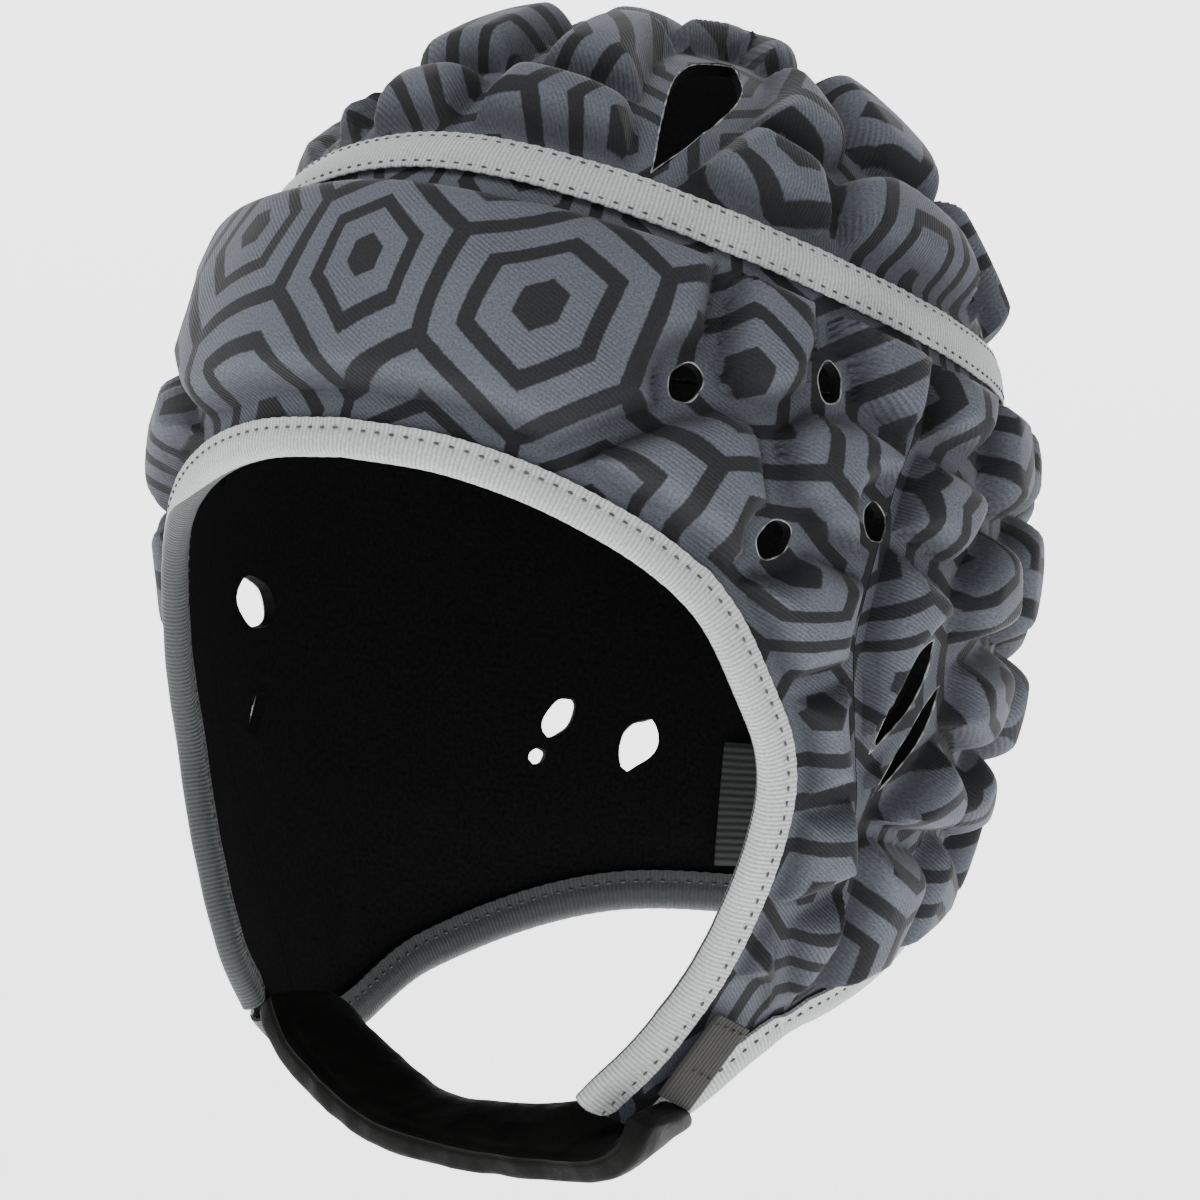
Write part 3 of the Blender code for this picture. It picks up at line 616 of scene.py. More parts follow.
def build_mesh(name, points, faces, uv, layers=None, materials=(), face_material=None, crease=60.0):
    """A smooth mesh object from arrays: points, faces of one size, UV of each point, and layers of
    one number a point. Edges sharper than the crease angle stay sharp."""
    mesh = bpy.data.meshes.new(name)
    size = faces.shape[1]
    mesh.vertices.add(len(points))
    mesh.vertices.foreach_set("co", points.astype(np.float32).ravel())
    mesh.loops.add(faces.size)
    mesh.loops.foreach_set("vertex_index", faces.astype(np.int32).ravel())
    mesh.polygons.add(len(faces))
    mesh.polygons.foreach_set("loop_start", np.arange(0, faces.size, size, dtype=np.int32))
    mesh.update(calc_edges=True)
    layer = mesh.uv_layers.new(name="UVMap")
    layer.data.foreach_set("uv", uv[faces.ravel()].astype(np.float32).ravel())
    for key, values in (layers or {}).items():
        attribute = mesh.attributes.new(key, "FLOAT", "POINT")
        attribute.data.foreach_set("value", values.astype(np.float32).ravel())
    for material in materials:
        mesh.materials.append(material)
    if face_material is not None:
        mesh.polygons.foreach_set("material_index", face_material.astype(np.int32))
    mesh.polygons.foreach_set("use_smooth", np.ones(len(faces), dtype=bool))
    mesh.set_sharp_from_angle(angle=math.radians(crease))
    mesh.validate()
    piece = bpy.data.objects.new(name, mesh)
    bpy.context.scene.collection.objects.link(piece)
    return piece


def declare(piece, node):
    """A finished piece rides on the cap's body and stands for its node, whose part is hidden."""
    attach(piece, BODY)
    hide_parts(node)


def wall(points, grid, panel, flat):
    """Thickness of a panel over the form, and a painted shade from 0 to 1 that darkens its creases.
    Between pads the channel wall, on a pad the channel wall plus its height times a rounded rise, the
    rise being the 0.8th power of the sine of the share of the edge width; flat holds the distance
    from the nearest edge under a tape, where the wall is thin. The pads are lower on the right side
    of the forehead and the crown, and low beside the face edge of the cheeks."""
    size = bpy.context.scene.cap_sizes
    border, pads = pad_border(points, PADS[panel])
    border = border + 0.0008 * lumps(points, 0.019, 3) + 0.0003 * lumps(points, 0.008, 4)
    if panel != "crown":
        border = np.minimum(border, np.abs(np.abs(grid[0]) - seam_turn(grid[1])) * HALF_WIDTH)
    hole, _ = hole_distance(points, panel)
    border = np.minimum(border, np.minimum(hole - HOLE_MARGIN[panel], flat))
    inside = np.clip((border - 0.5 * size.channel_width) / size.pad_edge, 0.0, 1.0)
    rise = np.sin(0.5 * math.pi * inside) ** 0.8
    bulge = 1.0 - np.exp(-(np.clip(border, 0.0, None) / 0.012) ** 2)
    tall = 1.0 + 0.10 * np.sin(pads * 2.4 + 1.0)
    folds = 0.00030 * lumps(points * [1.0, 1.0, 0.4], 0.0045, 7) + 0.0004 * lumps(points, 0.010, 8)
    cheek = np.clip(-grid[1] / RISE + 0.05, 0.0, 0.35) / 0.35 * (panel == "front")
    right = np.exp(-((grid[0] + 1.3) / 0.5) ** 2)
    right = right * np.clip(1.4 - np.abs(grid[1] / RISE) * 2.5, 0.0, 1.0)
    tall = tall * (1.0 - 0.38 * right * (panel != "crown"))
    tall = tall * (1.0 - 0.55 * np.exp(-((grid[0] + 0.95) / 0.42) ** 2) * (panel == "crown"))
    tall = tall * (1.0 - 0.5 * cheek * np.exp(-(np.clip(flat, 0.0, None) / 0.016) ** 2))
    thickness = size.channel_wall + rise * (size.pad_height * tall + size.pad_crown * bulge)
    thickness += folds * (0.2 + 0.8 * (1.0 - rise))
    thin = np.clip(flat / 0.003, 0.0, 1.0)
    thickness = size.flange_wall + (thickness - size.flange_wall) * thin
    # Painted shade: a dark band along each pad's foot and a slightly darker channel floor, where shade
    # falls; it fades next to the tapes.
    foot = (border - 0.5 * size.channel_width - 0.0006) / 0.0021
    shade = 1.0 - 0.5 * np.exp(-foot ** 2) - 0.14 * (foot < 0.0) * (1.0 - np.exp(-foot ** 2))
    return thickness, 1.0 - (1.0 - shade) * np.clip(flat / 0.004 + 0.6, 0.5, 1.0)


def make_panel(panel, grid, uv, flat, cloth):
    """A panel's closed shell. Grid points next to a hole's outline are moved onto it, triangles
    inside are left out, the outer sheet lies a wall's thickness over the inner one, and both are
    joined along every open edge. The crown's last ring is closed by a fan of triangles."""
    turn, level = grid
    columns, rows = turn.shape
    wrap = panel == "crown"
    triangles = grid_triangles(columns, rows, wrap)
    if wrap:
        last_ring = np.arange(1, columns - 1) * rows + rows - 1
        pole = np.stack([last_ring, last_ring + rows, np.full(columns - 2, rows - 1)], -1)
        triangles = np.concatenate([triangles, pole])
    points = place(turn, level)
    distance, _ = hole_distance(points, panel)
    distance = distance.ravel()
    edges = edges_of(triangles)
    crossing = edges[(distance[edges[:, 0]] < 0.0) != (distance[edges[:, 1]] < 0.0)]
    closer = np.abs(distance[crossing]).argmin(1)
    moved = np.zeros(turn.size, dtype=bool)
    moved[crossing[np.arange(len(crossing)), closer]] = True
    spot = np.flatnonzero(moved)
    where = (turn.ravel()[spot], level.ravel()[spot])
    for _ in range(5):
        gap, away = hole_distance(place(*where), panel)
        where = beside(*where, away, -gap)
    turn, level = turn.ravel().copy(), level.ravel().copy()
    shift = np.stack([(where[0] - turn[spot]) * HALF_WIDTH, where[1] - level[spot]], -1)
    turn[spot], level[spot] = where
    distance[spot] = 0.0
    triangles = triangles[(distance[triangles] >= 0.0).all(1)]
    uv = uv.reshape(-1, 2).copy()
    uv[spot] += shift

    inner, normals = hung(turn, level)
    thickness, shade = wall(inner, (turn, level), panel, flat.ravel())
    outer = inner + normals * thickness[:, None]
    edge = border_edges(triangles)
    lining = 0.00025 * lumps(inner, 0.011, 21) * np.clip(flat.ravel() / 0.006, 0.0, 1.0)
    inner = inner + normals * np.minimum(lining, 0.0)[:, None]
    count = len(inner)
    faces = np.concatenate([
        triangles,
        triangles[:, ::-1] + count,
        np.stack([edge[:, 1], edge[:, 0], edge[:, 0] + count], -1),
        np.stack([edge[:, 1], edge[:, 0] + count, edge[:, 1] + count], -1),
    ])
    used, faces = np.unique(faces, return_inverse=True)
    faces = faces.reshape(-1, 3)
    material = np.zeros(len(faces))
    material[len(triangles):] = 1
    both = np.concatenate([outer, inner])[used]
    # The shade layer is painted shade for the cloth's colour, darker in the creases.
    layers = {"shade": np.concatenate([shade, shade])[used]}
    piece = build_mesh(f"{panel}_panel_padded", both, faces, np.concatenate([uv, uv])[used], layers,
                       [cloth, lining_cloth()], material)
    declare(piece, f"{panel}_panel")


def face_edge(share):
    """Turn without its sign and level of the face edge; share runs from -1, the right flap's tip,
    over the forehead to 1, the left one's."""
    left = smooth_line(FACE_EDGE[:-2] + LEFT_TIP, FLAP_DROP, np.abs(share))
    right = smooth_line(FACE_EDGE[:-2] + RIGHT_TIP, FLAP_DROP, np.abs(share))
    return np.where(share > 0.0, left, right)


def tab_ends():
    """Turn and level of the tab's upper and lower end."""
    return [np.array([math.radians(turn), level * FLAP_DROP]) for turn, level in TAB_ENDS]


def front_grid():
    """Turn and level of the front panel, ruled from the face edge to the band and the side seam,
    with the distance of each point from the edges that lie under tape."""
    low, high, rows = FRONT_GRID
    half = np.concatenate([np.linspace(0.0, CORNER_SHARE, low, endpoint=False),
                           np.linspace(CORNER_SHARE, 1.0, high)])
    share = np.concatenate([-half[:0:-1], half])
    size, side = np.abs(share), np.sign(share)
    face = face_edge(share)
    corner_turn = seam_turn(band_level(math.radians(SIDE_SEAM[0][0])))
    band_turn = corner_turn * np.clip(size / CORNER_SHARE, 0.0, 1.0)
    top = band_level(corner_turn) - CLEARANCE
    bottom = neck_level(math.radians(SIDE_SEAM[-1][0]))
    down = np.clip((size - CORNER_SHARE) / (1.0 - CORNER_SHARE), 0.0, 1.0) ** CORNER_EASE
    seam_level = top + (bottom - top) * down
    on_band = size <= CORNER_SHARE
    outer_level = np.where(on_band, band_level(band_turn) - CLEARANCE, seam_level)
    gap = SEAM_GAP / HALF_WIDTH
    outer_turn = np.where(on_band, band_turn, seam_turn(seam_level)) - gap * ~on_band
    across = np.linspace(0.0, 1.0, rows)[None, :]
    turn = side[:, None] * (face[0][:, None] * (1 - across) + outer_turn[:, None] * across)
    level = face[1][:, None] * (1 - across) + outer_level[:, None] * across
    level = level + (size[:, None] ** 30) * (neck_level(turn) - level)
    points = place(turn, level)
    brow = np.exp(-(turn / 0.55) ** 4)
    flat = edge_distance(points, place(side * face[0], face[1])) - 0.0066 - 0.0026 * brow
    band = edge_distance(points, place(side * band_turn, band_level(band_turn)))
    band = band - 0.0062 - 0.0022 * brow
    neck = np.abs(level - neck_level(turn)) * 0.9 - 0.007
    neck = np.where(level < 0.8 * bottom, neck, 1.0)
    first, last = tab_ends()
    tab = place(*np.linspace(first, last, 40).T)
    under_tab = edge_distance(points, tab) - 0.5 * TAB_WIDTH - 0.002
    return (turn, level), np.minimum(np.minimum(flat, band), np.minimum(neck, under_tab))


def edge_distance(points, line):
    """Distance of each point from the nearest point of a line."""
    nearest = np.full(points.shape[:-1], 1.0)
    for start in range(0, len(line), 40):
        part = line[start:start + 40:2]
        nearest = np.minimum(nearest, np.linalg.norm(points[..., None, :] - part, axis=-1).min(-1))
    return nearest


def rear_grid():
    """Turn and level of the rear panel from seam to seam and from neck edge to band."""
    half, rows = REAR_GRID
    share = np.linspace(-1.0, 1.0, 2 * half + 1)
    gap = SEAM_GAP / HALF_WIDTH
    across = np.linspace(0.0, 1.0, rows)[None, :]
    turn = math.pi - np.abs(share)[:, None] * (math.pi - math.radians(SIDE_SEAM[3][0]))
    for _ in range(8):
        level = neck_level(turn) * (1 - across) + (band_level(turn) - CLEARANCE) * across
        turn = math.pi - np.abs(share)[:, None] * (math.pi - seam_turn(level) - gap)
    side = np.where(share < 0.0, -1.0, 1.0)[:, None]
    flat = np.minimum((level - neck_level(turn)) * 0.95 - 0.007, (band_level(turn) - level) - 0.0062)
    return (side * turn, level), flat


def crown_grid():
    """Turn and level of the crown panel: rings from the band to just below the pole."""
    columns, rows = CROWN_GRID
    turn = np.linspace(-math.pi, math.pi, columns, endpoint=False)[:, None]
    start = np.arcsin(((band_level(turn) + CLEARANCE) / RISE) ** (DOME_POWER / 2.0))
    lift = start + (0.5 * math.pi - 0.012 - start) * np.linspace(0.0, 1.0, rows)[None, :]
    level = RISE * np.sin(lift) ** (2.0 / DOME_POWER)
    flat = (lift - start) * HALF_WIDTH - 0.0048
    return (turn + 0.0 * level, level), lift, flat


def wire(material, node, inputs):
    """Give each socket, named (with _ for a space) or numbered, a value, a socket or a node's first
    output."""
    for key, value in inputs.items():
        socket = node.inputs[int(key[1:])] if key[1:].isdigit() else node.inputs[key.replace("_", " ")]
        if isinstance(value, bpy.types.Node):
            value = value.outputs[0]
        if isinstance(value, bpy.types.NodeSocket):
            material.node_tree.links.new(value, socket)
        else:
            socket.default_value = value


def add(material, kind, settings=None, **inputs):
    """Add a node with its settings and links."""
    node = material.node_tree.nodes.new("ShaderNode" + kind)
    for key, value in (settings or {}).items():
        setattr(node, key, value)
    wire(material, node, inputs)
    return node


def new_material(name):
    """A new material with its node tree."""
    material = bpy.data.materials.new(name)
    material.use_nodes = True
    return material


def dress(material, colour, height=None, strength=0.3, depth=0.0002, **values):
    """Wire the colour, a bump of the height and the other values into the shader."""
    if height is not None:
        values["Normal"] = add(material, "Bump", Strength=strength, Distance=depth, Height=height)
    wire(material, material.node_tree.nodes["Principled BSDF"], {"Base Color": colour, **values})
    return material


def toned(material, colour, source, low, high, dark, light):
    """A colour times a factor that runs from dark to light while the source runs from low to high."""
    factor = add(material, "MapRange", i0=source, i1=low, i2=high, i3=dark, i4=light)
    settings = {"data_type": "RGBA", "blend_type": "MULTIPLY"}
    return add(material, "Mix", settings, i0=1.0, i6=colour, i7=factor).outputs[2]


def wave_scale(pitch):
    """Scale of a wave texture whose bands repeat at a pitch in metres."""
    return 2.0 * math.pi / 20.0 / pitch


def print_mask(material, spot, pitch):
    """Nested hexagons as lines: the distance to a cell's middle is the larger of the across part and
    the dot product with the 60 degree direction; lines lie at the cell's edge, halfway in and in the
    core. Returns a socket with 1 on ink."""
    root = math.sqrt(3.0)
    scaled = add(material, "VectorMath", {"operation": "SCALE"}, i0=spot, i3=1.0 / pitch)
    halves = []
    for shift in (40.0, 40.5):
        folded = scaled
        for operation, vector in (("ADD", (shift, shift * root, 0.0)), ("MODULO", (1.0, root, 1.0)),
                                  ("SUBTRACT", (0.5, 0.5 * root, 0.0)), ("MULTIPLY", (1.0, 1.0, 0.0)),
                                  ("ABSOLUTE", (0.0, 0.0, 0.0))):
            folded = add(material, "VectorMath", {"operation": operation}, i0=folded, i1=vector)
        slanted, straight = (add(material, "VectorMath", {"operation": "DOT_PRODUCT"}, i0=folded, i1=way)
                             for way in ((0.5, 0.5 * root, 0.0), (1.0, 0.0, 0.0)))
        halves.append(add(material, "Math", {"operation": "MAXIMUM"}, i0=slanted.outputs[1],
                          i1=straight.outputs[1]))
    reach = add(material, "Math", {"operation": "MINIMUM"}, i0=halves[0], i1=halves[1])
    ramp = add(material, "ValToRGB", i0=reach)
    elements = ramp.color_ramp.elements
    elements.remove(elements[1])
    elements[0].color = (1.0, 1.0, 1.0, 1.0)
    for position, ink in PRINT_STOPS:
        elements.new(position).color = (ink, ink, ink, 1.0)
    return ramp.outputs[0]


def printed_knit(name, turned, offset):
    """Polyester jersey, warp-knitted and sublimation-printed, laminated over foam: a matt cloth with fine
    ribs that open where a pad stretches it, here in random patches, a soft sheen and slightly frayed
    print edges."""
    sizes, colours = bpy.context.scene.cap_sizes, bpy.context.scene.cap_colours
    material = new_material(name)
    spot = add(material, "UVMap", {"uv_map": "UVMap"})
    moved = add(material, "Mapping", i0=spot, Location=(*offset, 0.0),
                Rotation=(0.0, 0.0, math.radians(turned)))
    warp = add(material, "TexNoise", Vector=spot, Scale=24.0, Detail=0.0)
    centred = add(material, "VectorMath", {"operation": "SUBTRACT"}, i0=warp.outputs["Color"],
                  i1=(0.5, 0.5, 0.5))
    bent = add(material, "VectorMath", {"operation": "MULTIPLY_ADD"}, i0=centred, i1=(PRINT_WARP,) * 3,
               i2=moved)
    fray = add(material, "TexNoise", Vector=spot, Scale=1400.0, Detail=1.0)
    frayed = add(material, "VectorMath", {"operation": "MULTIPLY_ADD"}, i0=fray.outputs["Color"],
                 i1=(PRINT_FRAY,) * 3, i2=bent)
    ink = print_mask(material, frayed, sizes.print_pitch)

    # The knit's own ribs are about half as wide, too fine for the render
    slanted = add(material, "Mapping", i0=spot, Rotation=(0.0, 0.0, math.radians(RIB_SLANT)))
    ribs = add(material, "TexWave", {"wave_type": "BANDS", "bands_direction": "Y"}, Vector=slanted,
               Scale=wave_scale(RIB_PITCH), Distortion=1.6, Detail=1.0, Detail_Scale=0.25)
    # Painted shade from the panel's shade layer: darker in the creases at the pads' feet.
    crease = add(material, "Attribute", {"attribute_name": "shade"})
    patches = add(material, "TexNoise", Vector=spot, Scale=48.0, Detail=1.0)
    stretch = add(material, "MapRange", i0=patches, i1=0.42, i2=0.62, i3=0.15, i4=1.0)
    mottle = add(material, "TexNoise", Vector=spot, Scale=2100.0, Detail=1.0, Roughness=0.7)
    cloud = add(material, "TexNoise", Vector=spot, Scale=26.0, Detail=2.0)

    mix = {"data_type": "RGBA"}
    ground = add(material, "Mix", mix, i0=ink, i6=colours.knit, i7=colours.ink).outputs[2]
    speckled = toned(material, ground, mottle, 0.3, 0.7, 0.72, 1.26)
    clouded = toned(material, speckled, cloud, 0.3, 0.7, 0.88, 1.10)
    ribbed = toned(material, clouded, ribs.outputs["Fac"], 0.0, 1.0, 0.70, 1.16)
    worn = add(material, "Mix", mix, i0=stretch, i6=clouded, i7=ribbed).outputs[2]
    # The painted crease shade darkens the cloth's colour.
    final = toned(material, worn, crease.outputs["Fac"], 0.0, 1.0, 0.0, 1.0)
    raised = add(material, "Math", {"operation": "MULTIPLY_ADD"}, i0=ribs.outputs["Fac"], i1=stretch,
                 i2=mottle)
    return dress(material, final, raised, 0.45, 0.00022, Roughness=0.86, Specular_IOR_Level=0.25,
                 Sheen_Weight=0.07, Sheen_Roughness=0.4)


def lining_cloth():
    """Black brushed tricot bonded to the foam: a deep matt black with a faint grain."""
    material = new_material("black_tricot_lining")
    spot = add(material, "UVMap", {"uv_map": "UVMap"})
    grain = add(material, "TexNoise", Vector=spot, Scale=1100.0, Detail=2.0)
    black = toned(material, bpy.context.scene.cap_colours.lining, grain, 0.3, 0.7, 0.5, 1.5)
    return dress(material, black, grain, Roughness=0.95, Specular_IOR_Level=0.08)


def woven_tape(name, pitch, inside_at):
    """Polypropylene grosgrain: thick weft ribs across the tape with shadowed gaps, a dull satin.
    Past inside_at across the width the tape has turned inside, and there its colour is darker: painted
    shade of the cap's inside on the same tape."""
    colours = bpy.context.scene.cap_colours
    material = new_material(name)
    spot = add(material, "UVMap", {"uv_map": "UVMap"})
    split = add(material, "SeparateXYZ", i0=spot)
    ribs = add(material, "TexWave", {"wave_type": "BANDS", "bands_direction": "X"}, Vector=spot,
               Scale=wave_scale(pitch), Distortion=0.5, Detail=1.0, Detail_Scale=0.6)
    fibre = add(material, "TexNoise", Vector=spot, Scale=1600.0, Detail=2.0)
    dirt = add(material, "TexNoise", Vector=spot, Scale=55.0, Detail=3.0)
    # Painted shade: past inside_at the tape takes the darker inside colour.
    inside = add(material, "Math", {"operation": "GREATER_THAN"}, i0=split.outputs[1], i1=inside_at)
    base = add(material, "Mix", {"data_type": "RGBA"}, i0=inside, i6=colours.tape, i7=colours.tape_inside_shade)
    ribbed = toned(material, base.outputs[2], ribs.outputs["Fac"], 0.0, 0.7, 0.66, 1.04)
    fibred = toned(material, ribbed, fibre, 0.3, 0.7, 0.80, 1.12)
    height = add(material, "Math", {"operation": "ADD"}, i0=ribs.outputs["Fac"], i1=fibre)
    return dress(material, toned(material, fibred, dirt, 0.3, 0.7, 0.92, 1.04), height, 0.6,
                 Roughness=0.7, Sheen_Weight=0.1)


def faux_leather():
    """Polyurethane-coated knit over foam: near black, a soft gloss along its folds, fine pores."""
    material = new_material("coated_faux_leather")
    spot = add(material, "UVMap", {"uv_map": "UVMap"})
    pores = add(material, "TexVoronoi", {"feature": "DISTANCE_TO_EDGE"}, Vector=spot, Scale=900.0)
    creases = add(material, "TexNoise", Vector=spot, Scale=160.0, Detail=4.0, Roughness=0.6)
    black = toned(material, bpy.context.scene.cap_colours.strap, creases, 0.3, 0.7, 0.75, 1.25)
    height = add(material, "Math", {"operation": "MULTIPLY_ADD"}, i0=pores, i1=2.0, i2=creases)
    wear = add(material, "MapRange", i0=creases, i1=0.3, i2=0.7, i3=0.5, i4=0.75)
    return dress(material, black, height, Roughness=wear, Specular_IOR_Level=0.12)


def ribbed_webbing(name, pitch, colour):
    """Polypropylene webbing, plain woven: dark matt cords side by side."""
    material = new_material(name)
    spot = add(material, "UVMap", {"uv_map": "UVMap"})
    ribs = add(material, "TexWave", {"bands_direction": "Y"}, Vector=spot, Scale=wave_scale(pitch),
               Distortion=0.4, Detail=1.0)
    fibre = add(material, "TexNoise", Vector=spot, Scale=1500.0, Detail=2.0)
    ribbed = toned(material, colour, ribs.outputs["Fac"], 0.0, 1.0, 0.55, 1.2)
    return dress(material, toned(material, ribbed, fibre, 0.3, 0.7, 0.8, 1.2), ribs.outputs["Fac"], 0.6,
                 0.0003, Roughness=0.8)


def spun_thread(name, colour, roughness, scale=2200.0, bright=1.25):
    """Spun polyester sewing thread: matt, with a twist too fine to show, drawn as a soft speckle."""
    material = new_material(name)
    spot = add(material, "TexCoord")
    fibre = add(material, "TexNoise", Vector=spot.outputs["Object"], Scale=scale, Detail=1.0)
    return dress(material, toned(material, colour, fibre, 0.35, 0.65, 0.4, bright), Roughness=roughness)


def tube(stations, sides, closed=False):
    """Quads that join closed rings of points one to the next, and the last to the first if closed."""
    one = np.arange(stations if closed else stations - 1)[:, None] * sides
    two = (one + sides) % (stations * sides)
    near = np.arange(sides)
    after = (near + 1) % sides
    return np.stack([one + near, one + after, two + after, two + near], -1).reshape(-1, 4)


def repeated(quads, size, count):
    """The quads of one body of a size in points, repeated for bodies up to a count of points."""
    return (quads + np.arange(0, count, size)[:, None, None]).reshape(-1, 4)


def capped(name, rings, lengthwise, crosswise, closed, material):
    """A solid from rings of points: closed joins the last ring to the first, otherwise both ends are
    closed by quads drawn across the ring."""
    stations, sides = rings.shape[:2]
    faces = tube(stations, sides, closed)
    if not closed:
        low = np.arange(sides // 2 - 1)
        first = np.stack([low + 1, low, sides - 1 - low, sides - 2 - low], -1)
        faces = np.concatenate([faces, first, (stations - 1) * sides + first[:, ::-1]])
    uv = np.stack(np.broadcast_arrays(lengthwise[:, None], crosswise), -1).reshape(-1, 2)
    return build_mesh(name, rings.reshape(-1, 3), faces, uv, None, [material], crease=50.0)


def run_length(points):
    """Distance along a line of points."""
    return np.concatenate([[0.0], np.cumsum(np.linalg.norm(np.diff(points, axis=0), axis=1))])


def band_section(width, thickness, count):
    """A flat strip's outline, once round: places across and heights, with rounded edges."""
    across = 0.5 * width * np.cos(np.linspace(0.0, math.pi, count))
    edge = np.sqrt(np.clip(1.0 - np.abs(across / (0.5 * width)) ** 12, 0.0, 1.0))
    upper = 0.5 * thickness * (0.25 + 0.75 * edge)
    return np.concatenate([across, across[::-1]]), np.concatenate([upper, -upper[::-1]])


def make_tape():
    """Crown tape: a strip carried along the band; its height over the panels is a little more
    between the two stitch rows, and its edges wave by a sine at the stitch pitch."""
    size = bpy.context.scene.cap_sizes
    turn = np.linspace(-math.pi, math.pi, 900, endpoint=False)
    level = band_level(turn)
    middle, normal = hung(turn, level)
    along = unit(np.roll(middle, -1, axis=0) - np.roll(middle, 1, axis=0))
    up = np.cross(along, normal)
    up *= np.sign(up[:, 2:3])
    run = run_length(middle)
    wave = 0.00012 * np.sin(2.0 * math.pi * run / size.stitch_pitch)
    across, height = band_section(size.tape_width, TAPE_THICKNESS, 14)
    share = across / (0.5 * size.tape_width)
    reach = across[None, :] + share[None, :] * wave[:, None]
    seam = np.exp(-((np.abs(share) - TAPE_SEAM) / 0.1) ** 2)
    puff = 0.00045 * np.exp(-(share / 0.55) ** 4) - 0.00012 * seam
    spot = beside(turn[:, None], level[:, None], up[:, None], reach)
    out = size.flange_wall + CLEARANCE + 0.0008 + height + puff
    ripple = 0.00018 * lumps(place(*spot), 0.007, 31)
    rings = place(*spot, out[None, :] + ripple)
    piece = capped("crown_tape_woven", rings[:, ::-1], run, across[::-1], True,
                   woven_tape("woven_grosgrain_tape", TAPE_PITCH, 1.0))
    declare(piece, "crown_tape")
    return [(run, turn, level, up, edge * 0.5 * size.tape_width, size.flange_wall + 0.0017)
            for edge in (-TAPE_SEAM, TAPE_SEAM)]


def stitches(name, rows, pitch, material):
    """Stitches as short capsules along lines beside a path: each is a ring of radius r(s) around
    the line's direction, r being a half circle's height along the stitch."""
    rounds, sides = 5, 6
    ring = (np.arange(sides) * 2.0 * math.pi / sides)[:, None]
    share = np.sin(np.linspace(-0.5, 0.5, rounds) * math.pi * 0.96)[:, None, None]
    radius = THREAD_RADIUS * np.sqrt(1.0 - share ** 2)
    bodies = []
    for run, turn, level, away, offset, out in rows:
        count = int(run[-1] / pitch)
        at = (np.arange(count) + 0.5) * run[-1] / count
        ends = []
        for where in (at - 0.5 * STITCH_LENGTH, at + 0.5 * STITCH_LENGTH):
            base = (np.interp(where, run, turn), np.interp(where, run, level))
            direction = np.stack([np.interp(where, run, part) for part in away.T], -1)
            spot = beside(*base, direction, offset)
            ends.append((place(*spot, out), hung(*spot)[1]))
        middle, half = 0.5 * (ends[0][0] + ends[1][0]), 0.5 * (ends[1][0] - ends[0][0])
        normal = ends[0][1]
        side = unit(np.cross(half, normal))
        middle, half, normal, side = (part[:, None, None] for part in (middle, half, normal, side))
        round_it = side * np.cos(ring) + normal * np.sin(ring) * 0.8
        bodies.append((middle + half * share + round_it * radius).reshape(-1, 3))
    points = np.concatenate(bodies)
    caps = np.array([(3, 2, 1, 0), (5, 4, 3, 0)])
    quads = np.concatenate([tube(rounds, sides), caps, caps[:, ::-1] + (rounds - 1) * sides])
    faces = repeated(quads, rounds * sides, len(points))
    piece = build_mesh(name, points, faces, points[:, :2], None, [material])
    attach(piece, BODY)


def make_binding(node, turn, level, width, material):
    """Binding folded round an edge. Its middle line runs from the outside in over a half circle round the
    edge and back on the inside; the section is that line thickened by half the tape each way and carried
    along the edge. Its inside part has the darker colour of painted shade; low on the right flap the
    mapping across the width shifts so that this painted shade reaches over the edge onto the outside."""
    size = bpy.context.scene.cap_sizes
    middle, normal = hung(turn, level)
    away = unit(np.cross(np.gradient(middle, axis=0), normal))
    half = 0.5 * BINDING_THICKNESS
    lift = CLEARANCE + half
    wall_here = size.flange_wall + 0.0004
    bend = 0.5 * wall_here + lift
    flat = np.linspace(-width, 0.0, 12)
    arc = np.linspace(0.5 * math.pi, -0.5 * math.pi, 9)[1:-1]
    side_line = np.concatenate([flat, bend * np.cos(arc) * 0.8, flat[::-1]])
    out_line = np.concatenate([0.0 * flat + wall_here + lift, 0.5 * wall_here + bend * np.sin(arc),
                               0.0 * flat - lift])
    centre = np.stack([side_line, out_line], -1)
    tangent = unit(np.gradient(centre, axis=0))
    proud = np.stack([-tangent[:, 1], tangent[:, 0]], -1)
    across = run_length(centre)
    loop = np.concatenate([centre + half * proud, (centre - half * proud)[::-1]])
    run = run_length(middle)
    wave = 1.0 + 0.012 * np.sin(2.0 * math.pi * run / size.stitch_pitch)
    share = np.clip(-loop[:, 0] / width, 0.0, 1.0)
    seam, puff = np.exp(-((share - BINDING_SEAM) / 0.1) ** 2), np.exp(-((share - 0.3) / 0.2) ** 2)
    press = (0.0002 * puff - 0.00015 * seam) * np.sign(loop[:, 1] - 0.5 * wall_here)
    near_end = np.clip(np.minimum(run, run[-1] - run) / (0.8 * width), 0.0, 1.0)
    taper = 0.22 + 0.78 * np.sqrt(1.0 - (1.0 - near_end) ** 2)
    reach = loop[None, :, 0] * wave[:, None]
    reach = np.where(reach < 0.0, reach * taper[:, None], reach)
    spot = beside(turn[:, None], level[:, None], away[:, None], reach)
    ripple = 0.00014 * lumps(middle, 0.006, 41)[:, None]
    rings = place(*spot, loop[None, :, 1] + press[None, :] + ripple)
    cross = np.concatenate([across, across[::-1]])
    # Painted shade: low on the right flap the darker inside colour is shifted out across the binding's
    # width.
    right_flap = np.clip(-middle[:, 0] / 0.03 - 1.0, 0.0, 1.0) * (middle[:, 1] < 0.0)
    painted_shade_shift = 0.0046 * right_flap * np.clip(-middle[:, 2] / 0.012 - 8.4, 0.0, 1.0)
    piece = capped(f"{node}_woven", rings, run, cross + painted_shade_shift[:, None], False, material)
    declare(piece, node)
    return [(run, turn, level, away, -BINDING_SEAM * width, out)
            for out in (wall_here + lift + half + 0.0001, -lift - half - 0.0001)]


